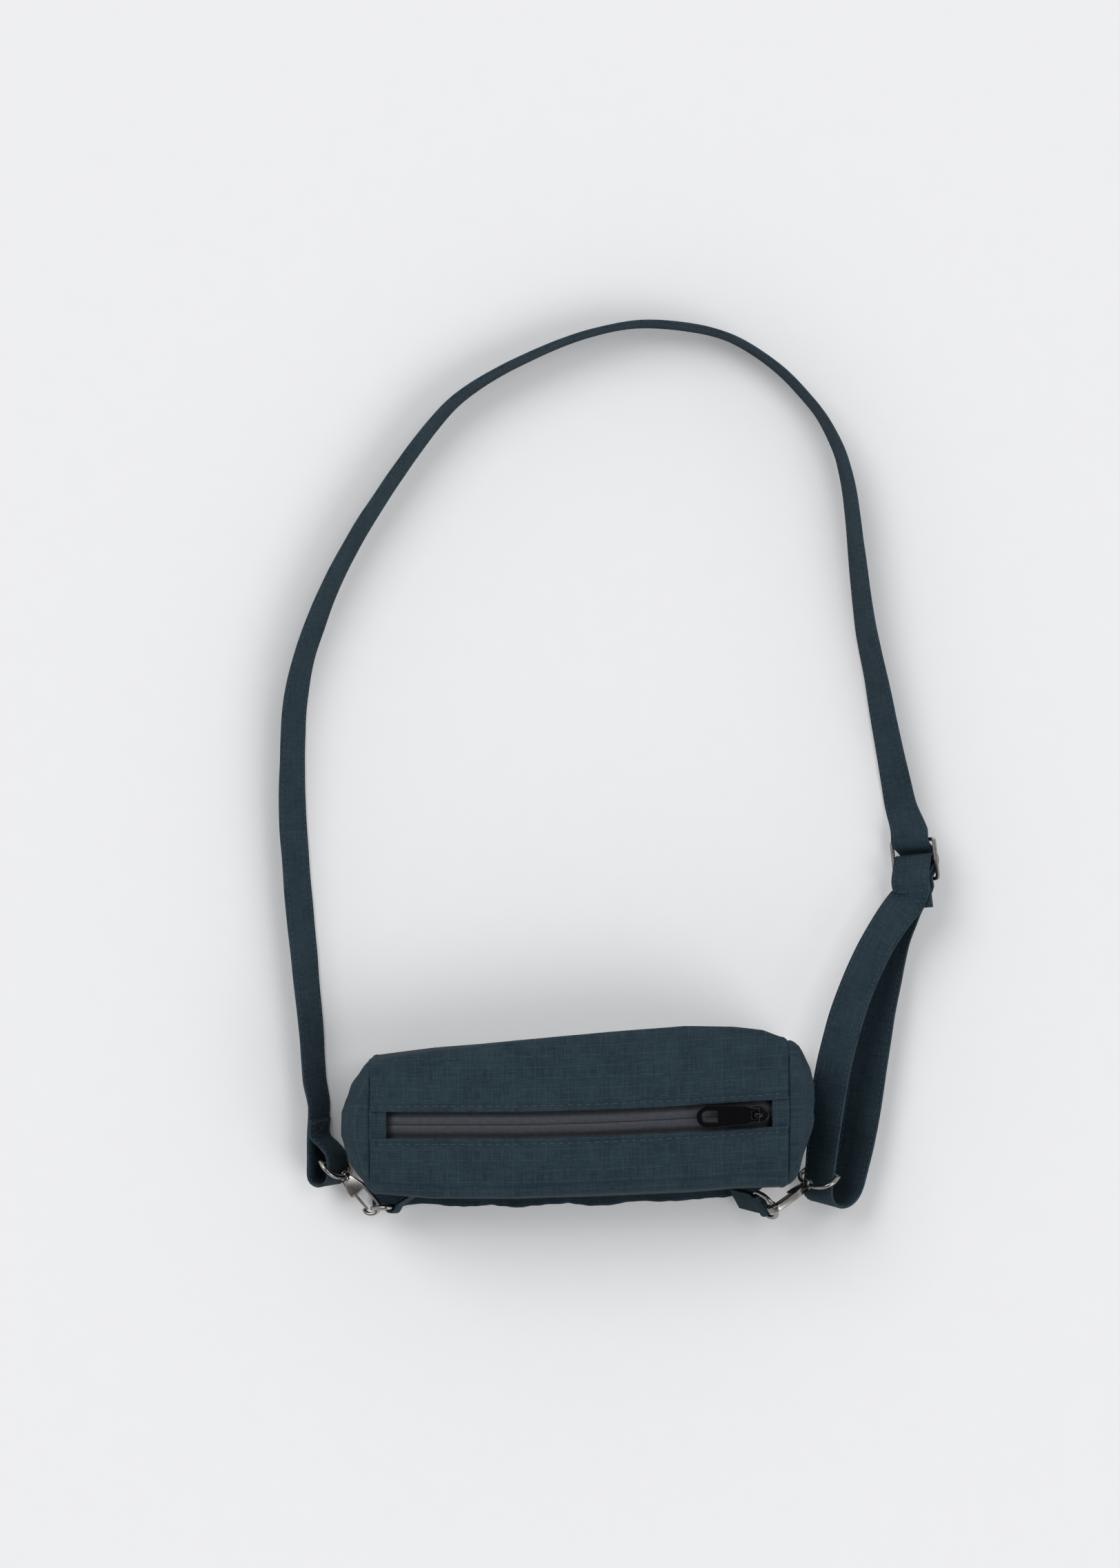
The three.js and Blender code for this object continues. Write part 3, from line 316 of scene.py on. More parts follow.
def ripstop_nylon(name, deep, lit, grid_strength):
    """Ripstop nylon: plain weave with a square grid of doubled yarns, matt with a faint sheen."""
    material, tree, shader = new_material(name, Roughness=0.8, IOR=1.5, Specular_IOR_Level=0.1)
    cloth, along, across = cloth_places(tree)
    warp_line = thread_line(tree, along, RIPSTOP_PITCH, RIPSTOP_THREAD)
    weft_line = thread_line(tree, across, RIPSTOP_PITCH, RIPSTOP_THREAD)
    faint_line = add_node(tree, "Math", [warp_line, WARP_LINE_SHARE], operation="MULTIPLY")
    grid = add_node(tree, "Math", [faint_line, weft_line], operation="MAXIMUM")
    waves = [yarn_wave(tree, place, YARN_PITCH) for place in (along, across)]
    weave = add_node(tree, "Math", waves, operation="MULTIPLY")
    slub = add_node(tree, "TexNoise", {"Vector": cloth}, Scale=0.9, Detail=3.0)
    shade = add_node(tree, "TexNoise", {"Vector": cloth}, Scale=0.045, Detail=2.0)
    broken = add_node(tree, "TexNoise", {"Vector": cloth}, Scale=0.22, Detail=4.0)
    caught = add_node(tree, "Math", [broken, LINES_FADE_BELOW], operation="SUBTRACT")
    caught = add_node(tree, "Math", [caught, grid_strength], operation="MULTIPLY")
    lines = add_node(tree, "Math", [grid, caught], operation="MULTIPLY")
    parts = [(slub, SLUB_SHARE), (weave, WEAVE_SHARE), (shade, SHADE_SHARE), (lines, 1.0)]
    for stretch in YARN_STRETCHES:
        run = add_node(tree, "Mapping", {"Vector": cloth}, Scale=stretch)
        yarns = add_node(tree, "TexNoise", {"Vector": run}, Scale=1.0, Detail=2.0)
        parts.append((yarns, YARN_SHARE))
    set_tone(tree, shader, weighted_sum(tree, TONE_START, parts), deep, lit)
    height = weighted_sum(tree, 0.0, [(grid, 0.45), (weave, 0.25)])
    set_relief(tree, shader, height, 0.35, 0.25)
    return material


def coated_zip_tape():
    """Zip tape with a thin smooth film: fine ribs along it show through, and it shines softly."""
    material, tree, shader = new_material(
        "coated_zip_tape", Roughness=0.5, IOR=1.5, Specular_IOR_Level=0.25,
    )
    cloth, along, across = cloth_places(tree)
    rib = yarn_wave(tree, across, 0.95)
    cross = yarn_wave(tree, along, 0.9)
    mottle = add_node(tree, "TexNoise", {"Vector": cloth}, Scale=0.35, Detail=3.0)
    tone = weighted_sum(tree, 0.0, [(mottle, 1.0), (rib, 0.16)])
    set_tone(tree, shader, tone, "#313338", "#45464c")
    height = weighted_sum(tree, 0.0, [(rib, 1.0), (cross, 0.5)])
    set_relief(tree, shader, height, 0.2, 0.12)
    return material


def polyester_thread():
    """Twisted polyester thread: a little lighter than the cloth, with a soft gloss."""
    material, tree, shader = new_material(
        "polyester_thread", Roughness=0.5, IOR=1.5, Sheen_Weight=0.1,
    )
    place = add_node(tree, "TexCoord", out="Object")
    fleck = add_node(tree, "TexNoise", {"Vector": place}, Scale=900.0, Detail=2.0)
    set_tone(tree, shader, fleck, "#25333b", "#394950")
    return material


def polished_nickel():
    """Dark nickel plate, polished: soft long scratches and a faint cloud in its gloss."""
    material, tree, shader = new_material("polished_nickel", Metallic=1.0)
    place = add_node(tree, "TexCoord", out="Object")
    cloud = add_node(tree, "TexNoise", {"Vector": place}, Scale=220.0, Detail=3.0)
    stretch = add_node(tree, "Mapping", {"Vector": place}, Scale=(300.0, 2500.0, 2500.0))
    hairline = add_node(tree, "TexNoise", {"Vector": stretch}, Scale=1.0, Detail=2.0)
    set_tone(tree, shader, cloud, "#6f6d6a", "#a5a19c")
    gloss = add_node(tree, "MapRange", {0: cloud, 3: 0.16, 4: 0.3})
    tree.links.new(gloss, shader.inputs["Roughness"])
    set_relief(tree, shader, hairline, 0.12, 0.05)
    return material


def black_enamel():
    """Baked black enamel on cast metal: deep gloss with slight orange peel."""
    material, tree, shader = new_material(
        "black_enamel", Roughness=0.2, IOR=1.5, Specular_IOR_Level=0.15, Coat_Weight=0.15,
        Coat_Roughness=0.05,
    )
    place = add_node(tree, "TexCoord", out="Object")
    peel = add_node(tree, "TexNoise", {"Vector": place}, Scale=700.0, Detail=2.0)
    set_tone(tree, shader, peel, "#030304", "#08080a")
    set_relief(tree, shader, peel, 0.08, 0.1)
    return material


def pale_paper():
    """Studio paper: matt and very pale."""
    material, tree, shader = new_material("pale_paper", Roughness=0.95)
    place = add_node(tree, "TexCoord", out="Object")
    fibre = add_node(tree, "TexNoise", {"Vector": place}, Scale=60.0)
    set_tone(tree, shader, fibre, "#ececec", "#eeeeee")
    return material


body_ripstop = ripstop_nylon("ripstop_nylon", "#1b2930", "#2e3d45", 4.2)
strap_ripstop = ripstop_nylon("ripstop_strap", "#1d2b33", "#2f3e46", 2.4)
tape_look = coated_zip_tape()
thread = polyester_thread()
nickel = polished_nickel()
enamel = black_enamel()


# Mesh helpers
def finish_piece(name, mesh, material, body, nodes=()):
    """Adds a piece: the body that it rides and the solids that it replaces."""
    piece = bpy.data.objects.new(name, mesh)
    bpy.context.scene.collection.objects.link(piece)
    mesh.materials.clear()
    mesh.materials.append(material)
    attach(piece, body)
    if nodes:
        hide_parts(*nodes)


def mesh_from(name, points, faces):
    """A smooth mesh in metres from points in millimetres."""
    mesh = bpy.data.meshes.new(name)
    mesh.from_pydata((np.asarray(points, float) * MM).tolist(), [], faces)
    mesh.validate()
    mesh.polygons.foreach_set("use_smooth", [True] * len(mesh.polygons))
    mesh.update()
    return mesh


def grid_faces(rows, columns, around=False, start=0):
    """Quads over a grid of points; around closes each row on itself."""
    faces = []
    spans = columns if around else columns - 1
    for row in range(rows - 1):
        for column in range(spans):
            a = start + row * columns + column
            b = start + row * columns + (column + 1) % columns
            faces.append((a, b, b + columns, a + columns))
    return faces


def end_faces(rows, columns, start=0):
    """The two faces that close a grid of points at its first and its last row."""
    last = start + (rows - 1) * columns
    return [tuple(range(start, start + columns))[::-1], tuple(range(last, last + columns))]


def cloth_grid(name, points, along, across, around=False):
    """A grid of cloth: points by row and column, with its cloth places in millimetres.
    Where it closes on itself, along and across have one more column than points."""
    rows, columns = points.shape[:2]
    mesh = mesh_from(name, points.reshape(-1, 3), grid_faces(rows, columns, around))
    spans = columns if around else columns - 1
    spots = []
    for row in range(rows - 1):
        for column in range(spans):
            for r, c in ((row, column), (row, column + 1), (row + 1, column + 1), (row + 1, column)):
                spots.append((along[r, c], across[r, c]))
    mesh.uv_layers.new(name="cloth").data.foreach_set("uv", np.asarray(spots, float).ravel())
    return mesh


def closed_strip(name, rows, stations):
    """Closed sections at stations; its cloth runs along by station and across by Y."""
    points = np.array(rows)
    closed = np.concatenate([points, points[:, :1]], axis=1)
    along = np.repeat(stations[:, None], closed.shape[1], axis=1)
    return cloth_grid(name, points, along, closed[:, :, 1], around=True)


def mended(mesh, merge=0.0, fill=True):
    """The same mesh with near points merged, its open ends filled and its faces turned outwards."""
    shell = bmesh.new()
    shell.from_mesh(mesh)
    if merge:
        bmesh.ops.remove_doubles(shell, verts=shell.verts, dist=merge * MM)
    if fill:
        bmesh.ops.holes_fill(shell, edges=[e for e in shell.edges if e.is_boundary])
    bmesh.ops.recalc_face_normals(shell, faces=shell.faces)
    shell.to_mesh(mesh)
    shell.free()
    return mesh


def combine(name, meshes):
    """One mesh from several, with their cloth maps kept."""
    whole = bmesh.new()
    for mesh in meshes:
        whole.from_mesh(mesh)
    mesh = bpy.data.meshes.new(name)
    whole.to_mesh(mesh)
    whole.free()
    mesh.polygons.foreach_set("use_smooth", [True] * len(mesh.polygons))
    return mesh


def share_of(value, reach):
    """How far a value is on its way from 0 to its reach, held between 0 and 1."""
    return min(max(value, 0) / reach, 1)


def smooth_step(value):
    """A soft step from 0 to 1 for a value between them, level outside."""
    share = min(max(value, 0), 1)
    return share * share * (3 - 2 * share)


def bell(away, width):
    """One where away is 0, falling off softly within about a width on both sides."""
    return math.exp(-(away / width) ** 2)


def read_table(table, column, at):
    """A column of a table at a place along it, straight between its rows."""
    return np.interp(at, table[:, 0], table[:, column])


def unit(vector):
    return vector / np.linalg.norm(vector, axis=-1, keepdims=True)


def ripple(x, y, z, size):
    """Smooth unevenness of cloth, about -1 to 1, the same at every run."""
    return noise.noise(Vector((x / size, y / size, z / size)))


# Bag body
def section_edges(along):
    """Y of the face's north and south edges, then of the back's, at a place from -1 to 1."""
    north, south, back_north, back_south = (
        read_table(BAG_SECTIONS, column, along) * HALF_HEIGHT for column in (1, 2, 3, 4)
    )
    return north, -south, back_north, -back_south


def face_level(along, y):
    """Level of the crowned face."""
    north, south = section_edges(along)[:2]
    across = np.clip((y - (north + south) / 2) / ((north - south) / 2), -1, 1)
    return BAG_DEPTH + FACE_CROWN * (1 - across * across)


def zip_line(along):
    """Y of the zip's middle line, which climbs towards the right."""
    return SLOT_LEVEL + SLOT_SLOPE * max((along + 0.35) / 1.35, 0) ** 1.6


def corner_arc(y, z, sy, sz, radius, start, inset, crease=0.0):
    """Quarter circle at a corner of the section; crease sinks a seam into its middle."""
    points = []
    for turn in np.linspace(0, math.pi / 2, CORNER_STEPS + 1):
        reach = radius - inset - crease * bell(turn - math.pi / 4, CREASE_SPREAD)
        points.append((
            y + sy * radius + reach * math.cos(start + turn),
            z + sz * radius + reach * math.sin(start + turn),
        ))
    return points


# Steps and stations of the cloth's meshes
CORNER_STEPS = 8
WALL_STEPS = 34
BACK_STEPS = 30
PANEL_FACE_STEPS = 46
BODY_STATIONS = 150
SEAM_STATIONS = np.array([0, 0.5, 1.0, 1.6, 2.6, 4.0])
SEAM_ZONE = 5.5
TAPE_STATIONS = 170
END_TAB_STATIONS = 20
FLANGE_STATIONS = 320
PANEL_SHARES = np.concatenate([[0, 0.012, 0.03, 0.06], np.linspace(0.1, 1, 26)])

# Seam that sinks along the upper edge towards the right: its depth, and its spread in radians
CREASE_DEPTH = 0.8
CREASE_SPREAD = 0.13

# Soft crease across an end panel
GUSSET_CREASE = 0.8

# Slack of the panels: height and length of its coarse and fine waves, then how far it is held
SLACK_COARSE = (0.8, 46)
SLACK_FINE = (0.4, 17)
HELD_BY_SEAM = 14
HELD_BY_ZIP = 10
HELD_BY_TABLE = 8
WALL_SLACK = 0.3


def bag_sides(along, inset):
    """The section from the face's south corner, round the back, to its north corner."""
    north, south, back_north, back_south = section_edges(along)
    back, face = BACK_CORNER_RADIUS, FACE_CORNER_RADIUS
    points = corner_arc(south, BAG_DEPTH, 1, -1, face, math.pi / 2, inset)
    crease = CREASE_DEPTH * smooth_step((along - 0.25) / 0.4)
    for steps, swell, corner in (
        (WALL_STEPS, -WALL_BULGE, corner_arc(back_south, 0, 1, 1, back, -math.pi, inset)),
        (BACK_STEPS, 0, corner_arc(back_north, 0, -1, 1, back, -math.pi / 2, inset)),
        (WALL_STEPS, WALL_BULGE, corner_arc(north, BAG_DEPTH, -1, -1, face, 0, inset, crease)),
    ):
        points += between(points[-1], corner[0], steps, swell) + corner
    return points


def between(first, last, steps, swell):
    """Points between two corners of the section, swelling sideways in the middle."""
    points = []
    for share in np.arange(1, steps) / steps:
        y = first[0] + (last[0] - first[0]) * share + swell * math.sin(share * math.pi)
        points.append((y, first[1] + (last[1] - first[1]) * share))
    return points


# Fold at the zip: its rise, the seam beside it, its drop, and its lip as steps outwards and
# shares of that drop
FOLD_RISE = 0.35
STITCH_SINK = 0.45
FOLD_DROP = 1.5
FOLD_LIP = [(4.5, 1), (0.5, 1), (-0.12, 0.8), (-0.2, 0.45), (-0.1, 0.15)]
FACE_SPOTS = np.concatenate([np.linspace(0, 5.4, 13), np.linspace(6.4, 10, 4)])
FACE_FAR_STEPS = 24


def face_strip(along, side, inset):
    """Face from the fold at the zip to the corner: side is 1 for north."""
    edges = section_edges(along)
    fold = zip_line(along) + side * SLOT_WIDTH / 2
    corner = edges[0] - FACE_CORNER_RADIUS if side > 0 else edges[1] + FACE_CORNER_RADIUS
    far_spots = np.linspace(FACE_SPOTS[-1], abs(corner - fold), FACE_FAR_STEPS)[1:-1]
    strip = []
    for offset in np.concatenate([FACE_SPOTS, far_spots]):
        y = fold + side * offset
        sewn = STITCH_SINK * bell(offset - ZIP_STITCH_INSET, 0.9)
        raised = FOLD_RISE * bell(offset - 1.2, 1.1)
        strip.append((y, face_level(along, y) - inset - sewn + raised))
    lip_y, lip_z = strip[0]
    return [(lip_y + side * out, lip_z - FOLD_DROP * down) for out, down in FOLD_LIP] + strip


def seam_inset(away):
    """How far the cloth sinks beside an end seam: a narrow groove, then a low ridge."""
    ridge = SEAM_RIDGE * bell(away - SEAM_REACH * 1.5, 1.1)
    return SEAM_DEPTH * max(1 - away / SEAM_REACH, 0) ** 2 - ridge


def bag_places(stations):
    """Points of the body's cloth by station, from fold to fold round the bag."""
    rows = []
    for x in stations:
        along = x / HALF_LENGTH
        inset = seam_inset(HALF_LENGTH - abs(x))
        section = (
            face_strip(along, -1, inset)
            + bag_sides(along, inset * SEAM_ON_WALLS)
            + face_strip(along, 1, inset)[::-1]
        )
        rows.append([(x, y, z) for y, z in section])
    return np.array(rows)


def grid_normals(points):
    normals = np.cross(np.gradient(points, axis=0), np.gradient(points, axis=1))
    length = np.linalg.norm(normals, axis=-1, keepdims=True)
    return normals / np.maximum(length, 1e-9)


def walked(points, axis=0):
    """Distance walked along a line of points, or along one axis of a grid of them."""
    steps = np.linalg.norm(np.diff(points, axis=axis), axis=-1)
    return np.cumsum(np.insert(steps, 0, 0, axis=axis), axis=axis)


def crumpled(points, depth_at):
    """The same grid with the soft unevenness of cloth, by depth_at(x, y, z) along its normals."""
    normals = grid_normals(points)
    moved = points.copy()
    for row in range(points.shape[0]):
        for column in range(points.shape[1]):
            x, y, z = points[row, column]
            moved[row, column] += normals[row, column] * depth_at(x, y, z)
    return moved


def body_depth(x, y, z):
    """Slack in the panels: soft hollows, kept off the seams, the zip and the table."""
    from_seam = share_of(HALF_LENGTH - abs(x), HELD_BY_SEAM)
    zip_gap = abs(y - zip_line(x / HALF_LENGTH)) - SLOT_WIDTH / 2
    from_zip = 1.0 if z < BAG_DEPTH - 2 else share_of(zip_gap - 4, HELD_BY_ZIP)
    from_table = share_of(z - 3, HELD_BY_TABLE)
    on_face = smooth_step((z - BAG_DEPTH + 3) / 3)
    coarse = SLACK_COARSE[0] * ripple(x, y * 1.6, z, SLACK_COARSE[1])
    fine = SLACK_FINE[0] * ripple(x + 90, y * 1.3, z, SLACK_FINE[1])
    free = WALL_SLACK + (1 - WALL_SLACK) * on_face
    return (coarse + fine) * from_seam * from_zip * from_table * free


def bag_body():
    """Both halves of the body; each one's weave runs true from its fold at the zip."""
    ends = HALF_LENGTH - SEAM_STATIONS
    inside = np.linspace(SEAM_ZONE - HALF_LENGTH, HALF_LENGTH - SEAM_ZONE, BODY_STATIONS)
    stations = np.concatenate([-ends, inside, ends[::-1]])
    points = bag_places(stations)
    walk = walked(points, 1)
    along = np.repeat(stations[:, None], points.shape[1], axis=1)
    shaped = crumpled(points, body_depth)
    middle = points.shape[1] // 2
    lower = cloth_grid("body_lower", shaped[:, :middle + 1], along, walk[:, :middle + 1])
    from_north = walk[:, -1:] - walk
    upper = cloth_grid("body_upper", shaped[:, middle:], along[:, middle:], from_north[:, middle:])
    return lower, upper


def full_section(along, inset):
    """Closed section with an even face, for the end panels."""
    sides = bag_sides(along, inset * SEAM_ON_WALLS)
    start, last = sides[-1], sides[0]
    face = []
    for share in np.arange(1, PANEL_FACE_STEPS) / PANEL_FACE_STEPS:
        y = start[0] + (last[0] - start[0]) * share
        face.append((y, face_level(along, y) - inset))
    return np.array(sides + face)


def end_panel(side, bulge, rings):
    """End panel: leaves the seam in a fold, then rises to a blunt point."""
    whole = full_section(side, 0)
    middle = (whole.min(0) + whole.max(0)) / 2
    rows = []
    for share in PANEL_SHARES:
        spot = np.interp(share, np.linspace(0, 1, len(rings)), rings[:, 0])
        shrink = read_table(rings, 1, spot)
        shift = read_table(rings, 2, spot) * HALF_HEIGHT
        rounded = spot + 0.05 * math.sin(spot * math.pi)
        section = full_section(side, seam_inset(spot * bulge))
        x = side * (HALF_LENGTH + bulge * min(rounded, 1))
        y = middle[0] + shift + (section[:, 0] - middle[0]) * shrink
        z = middle[1] + (section[:, 1] - middle[1]) * shrink
        rows.append(np.stack([np.full(len(y), x), y, z], axis=1))
    points = np.array(rows)
    closed = np.concatenate([points, points[:, :1]], axis=1)
    points = crumpled(closed, end_depth)[:, :-1]
    along = closed[:, :, 1]
    across = closed[:, :, 2] + np.abs(closed[:, :, 0] - side * HALF_LENGTH)
    if side > 0:
        points, along, across = points[::-1], along[::-1], across[::-1]
    panel = cloth_grid(f"end_panel_{side}", points, along, across, around=True)
    tip = (HALF_LENGTH + bulge * 0.9) * MM
    cap = bmesh.new()
    cap.from_mesh(panel)
    tip_edges = [
        e for e in cap.edges if e.is_boundary and all(v.co.x * side > tip for v in e.verts)
    ]
    bmesh.ops.holes_fill(cap, edges=tip_edges)
    cap.to_mesh(panel)
    cap.free()
    return panel


def end_depth(x, y, z):
    """Folds of an end panel: a soft gusset crease and slack between."""
    away = abs(x) - HALF_LENGTH
    held = share_of(away, 4)
    from_table = share_of(z - 4, HELD_BY_TABLE)
    crease = -GUSSET_CREASE * bell(z - BAG_DEPTH * 0.62 - away * 0.5, 2.2)
    return held * from_table * (crease + 1.4 * ripple(x, y, z, 19) + 0.5 * ripple(y, z, x, 8))


def back_flange():
    """Seam allowance along the lower back edge: two raw layers in shallow ripples."""
    rows = []
    flange_end = HALF_LENGTH * FLANGE_END_SHARE
    stations = np.linspace(-HALF_LENGTH - 1, flange_end, FLANGE_STATIONS)
    for x in stations:
        along = x / HALF_LENGTH
        fade = min(1, (flange_end - x) / FLANGE_FADE) ** 0.5
        wave = math.sin(x / RIPPLE_LENGTH * math.pi * 2)
        fine = ripple(x, 3, 7, 5.5)
        edge = section_edges(along)[3]
        corner = FLANGE_CORNER * smooth_step((-along - 0.72) / 0.28)
        slack = 0.88 + 0.06 * wave + 0.14 * ripple(x, 5, 2, 31)
        kept = FLANGE_LEAST_SHARE + (1 - FLANGE_LEAST_SHARE) * fade
        out = FLANGE_WIDTH * slack * kept + corner + 0.6 * fine
        root = edge + BACK_CORNER_RADIUS - 4
        rise = (RIPPLE_HEIGHT * (1 + wave) * 0.5 + 0.5 * fine + 0.5) * fade
        row = []
        for share in np.linspace(0, 1, 9):
            lift = FLANGE_LIFT + rise * share ** 1.6
            row.append((x, root + (edge - out - root) * share, lift))
        rows.append(row)
    lower = np.array(rows)
    upper = lower + UP * FLANGE_THICKNESS
    return closed_strip("flange", np.concatenate([lower, upper[:, ::-1]], axis=1), stations)


body_mesh = combine("bag_cloth", [
    *bag_body(),
    end_panel(-1, END_BULGE_LEFT, LEFT_END_RINGS),
    end_panel(1, END_BULGE_RIGHT, RIGHT_END_RINGS),
    back_flange(),
])
finish_piece("bag_cloth", body_mesh, body_ripstop, "bag", ["bag_shell"])


# Zip
def zip_strip(name, from_x, to_x, offsets, level_at, steps, lining):
    """A strip along the zip: offsets from its middle line, level_at(x, offset) over the face,
    and its thickness as lining."""
    stations = np.linspace(from_x, to_x, steps)
    rows = []
    for x in stations:
        along = x / HALF_LENGTH
        middle = zip_line(along)
        top = [
            (x, middle + offset, face_level(along, middle + offset) + level_at(x, offset))
            for offset in offsets
        ]
        under = [(px, py, pz - lining) for px, py, pz in reversed(top)]
        rows.append(top + under)
    return mended(closed_strip(name, rows, stations))


def tape_level(x, offset):
    """The coil under the tape lifts it beside the slit, and it dips a little at its edges."""
    away = abs(offset)
    coil = COIL_RISE * bell(away - 1.9, 1.5)
    wave = TAPE_WAVE * ripple(x, offset * 2, 0, 24)
    sunk = TAPE_EDGE_SINK * smooth_step((away - 3.5) / 4)
    crease = SLIT_SINK * bell(away, 0.35)
    from_end = max(HALF_LENGTH - ZIP_END_LENGTH - abs(x), 0)
    dipped = TAPE_END_SINK * bell(from_end, 5)
    return -TAPE_DEPTH + coil - sunk - crease - dipped + wave * share_of(away, 4)


zip_reach = HALF_LENGTH - CLOTH - 1.0
tape_spots = np.concatenate([[TAPE_SLIT / 2, 0.2, 0.4], np.linspace(0.7, TAPE_WIDTH, 26)])
for name, side in (("zip_tape_upper", 1), ("zip_tape_lower", -1)):
    offsets = side * tape_spots
    mesh = zip_strip(name, -zip_reach, zip_reach, offsets, tape_level, TAPE_STATIONS, TAPE_THICKNESS)
    finish_piece(f"{name}_cloth", mesh, tape_look, "bag", [name])


zip_end_fold = HALF_LENGTH - CLOTH - ZIP_END_LENGTH - FIT_GAP


def zip_end_level(x, offset):
    """A folded tab of ripstop: its fold stands a little proud and its sewn edge dips."""
    from_fold = abs(x) - zip_end_fold
    fold = END_TAB_FOLD * bell(from_fold, 0.8)
    ribs = END_TAB_RIB * math.sin(offset * 2 * math.pi / 1.3)
    return -0.75 + fold - END_TAB_SLOPE * from_fold / ZIP_END_LENGTH + ribs


for name, side in (("zip_end_left", -1), ("zip_end_right", 1)):
    ends = sorted((side * (HALF_LENGTH + 0.3), side * zip_end_fold))
    offsets = np.linspace(-SLOT_WIDTH / 2 - 1, SLOT_WIDTH / 2 + 1, 46)
    mesh = zip_strip(name, ends[0], ends[1], offsets, zip_end_level, END_TAB_STATIONS, END_TAB_THICKNESS)
    finish_piece(f"{name}_cloth", mesh, body_ripstop, "bag", [name])


def outline_plate(name, outline, holes, thickness, bevel):
    """A flat plate with rounded edges from an outline and its holes, all in its own plane."""
    curve = bpy.data.curves.new(name, "CURVE")
    curve.dimensions = "2D"
    curve.fill_mode = "BOTH"
    curve.extrude = (thickness / 2 - bevel) * MM
    curve.bevel_depth = bevel * MM
    curve.bevel_resolution = 3
    curve.offset = -bevel * MM
    for ring in [outline, *holes]:
        spline = curve.splines.new("POLY")
        spline.points.add(len(ring) - 1)
        for point, (x, y) in zip(spline.points, ring):
            point.co = (x * MM, y * MM, 0, 1)
        spline.use_cyclic_u = True
    holder = bpy.data.objects.new(name, curve)
    bpy.context.scene.collection.objects.link(holder)
    graph = bpy.context.evaluated_depsgraph_get()
    mesh = bpy.data.meshes.new_from_object(holder.evaluated_get(graph))
    bpy.data.objects.remove(holder)
    return mended(mesh, merge=0.01, fill=False)


def arc(x, y, radius, start, end, steps):
    """Points on an arc, its ends in degrees."""
    turns = np.radians(np.linspace(start, end, steps + 1))
    return [(x + radius * math.cos(turn), y + radius * math.sin(turn)) for turn in turns]


def rounded_box(half_x, half_y, radius, steps, middle_y=0.0):
    """Outline of a box with rounded corners."""
    outline = []
    for sx, sy, start in ((1, 1, 0), (-1, 1, 90), (-1, -1, 180), (1, -1, 270)):
        corner_x = sx * (half_x - radius)
        corner_y = middle_y + sy * (half_y - radius)
        outline += arc(corner_x, corner_y, radius, start, start + 90, steps)
    return outline


def placed(origin, x_axis, near_y):
    """A frame whose X runs along one direction and whose Y is as near as can be to another."""
    x = unit(np.asarray(x_axis, float))
    z = unit(np.cross(x, near_y))
    y = np.cross(z, x)
    matrix = Matrix.Identity(4)
    for row in range(3):
        matrix[row] = (x[row], y[row], z[row], origin[row] * MM)
    return matrix


def turned_rod(radius, profile, steps=24):
    """A body of revolution along X, closed at both ends, from places and shares of its radius."""
    points = []
    for place, share in profile:
        for k in range(steps):
            turn = 2 * math.pi * k / steps
            points.append((place, radius * share * math.cos(turn), radius * share * math.sin(turn)))
    faces = grid_faces(len(profile), steps, around=True) + end_faces(len(profile), steps)
    return mesh_from("rod", points, faces)


def wire_ring(path, radius, sides=16):
    """Round wire along a closed path; its sections stay upright to the plane of the bend."""
    path = np.asarray(path, float)
    count = len(path)
    points = []
    for k in range(count):
        run = unit(path[(k + 1) % count] - path[k - 1])
        out = unit(np.cross(run, UP))
        for side in range(sides):
            turn = 2 * math.pi * side / sides
            points.append(path[k] + radius * (math.cos(turn) * out + math.sin(turn) * UP))
    faces = grid_faces(count, sides, around=True)
    last = (count - 1) * sides
    for side in range(sides):
        after = (side + 1) % sides
        faces.append((last + side, last + after, after, side))
    return mesh_from("wire", points, faces)


def at(mesh, matrix):
    """The mesh itself, moved to its place."""
    mesh.transform(matrix)
    return mesh


slider_x = HALF_LENGTH - SLIDER_FROM_END
slider_y = zip_line(slider_x / HALF_LENGTH)
slider_base = face_level(slider_x / HALF_LENGTH, slider_y) - CLOTH - 0.1
pin_level = slider_base + SLIDER_HEIGHT + BRIDGE_INNER_RADIUS


def squared(wave, power):
    """A sine or cosine with fuller flanks, so that a round outline turns squarer."""
    return np.sign(wave) * abs(wave) ** power


def slider_body():
    """Slider: a rounded shield and the bridge that holds the tab."""
    shield = []
    for turn in np.radians(np.arange(0, 360, 9)):
        x = SLIDER_LENGTH / 2 * math.cos(turn) * (1 + 0.06 * math.cos(2 * turn))
        shield.append((x, SLIDER_WIDTH / 2 * squared(math.sin(turn), 0.8)))
    plate = outline_plate("shield", shield, [], SLIDER_HEIGHT, 0.8)
    at(plate, Matrix.Translation((0, 0, SLIDER_HEIGHT / 2 * MM)))
    middle = (BRIDGE_INNER_RADIUS + BRIDGE_OUTER_RADIUS) / 2
    wall = BRIDGE_OUTER_RADIUS - BRIDGE_INNER_RADIUS
    rows = []
    for turn in np.radians(np.linspace(-12, 192, 25)):
        outward = np.array([math.cos(turn), 0, math.sin(turn)])
        center = outward * middle + UP * (SLIDER_HEIGHT + BRIDGE_INNER_RADIUS)
        ring = []
        for side in np.radians(np.arange(0, 360, 30)):
            across = BRIDGE_WIDTH / 2 * squared(math.sin(side), 0.6)
            out = wall / 2 * squared(math.cos(side), 0.6)
            ring.append(center + outward * out + np.array([0, across, 0]))
        rows.append(ring)
    rows = np.array(rows)
    bridge = mesh_from("bridge", rows.reshape(-1, 3), grid_faces(len(rows), rows.shape[1], True))
    return combine("slider", [plate, bridge])


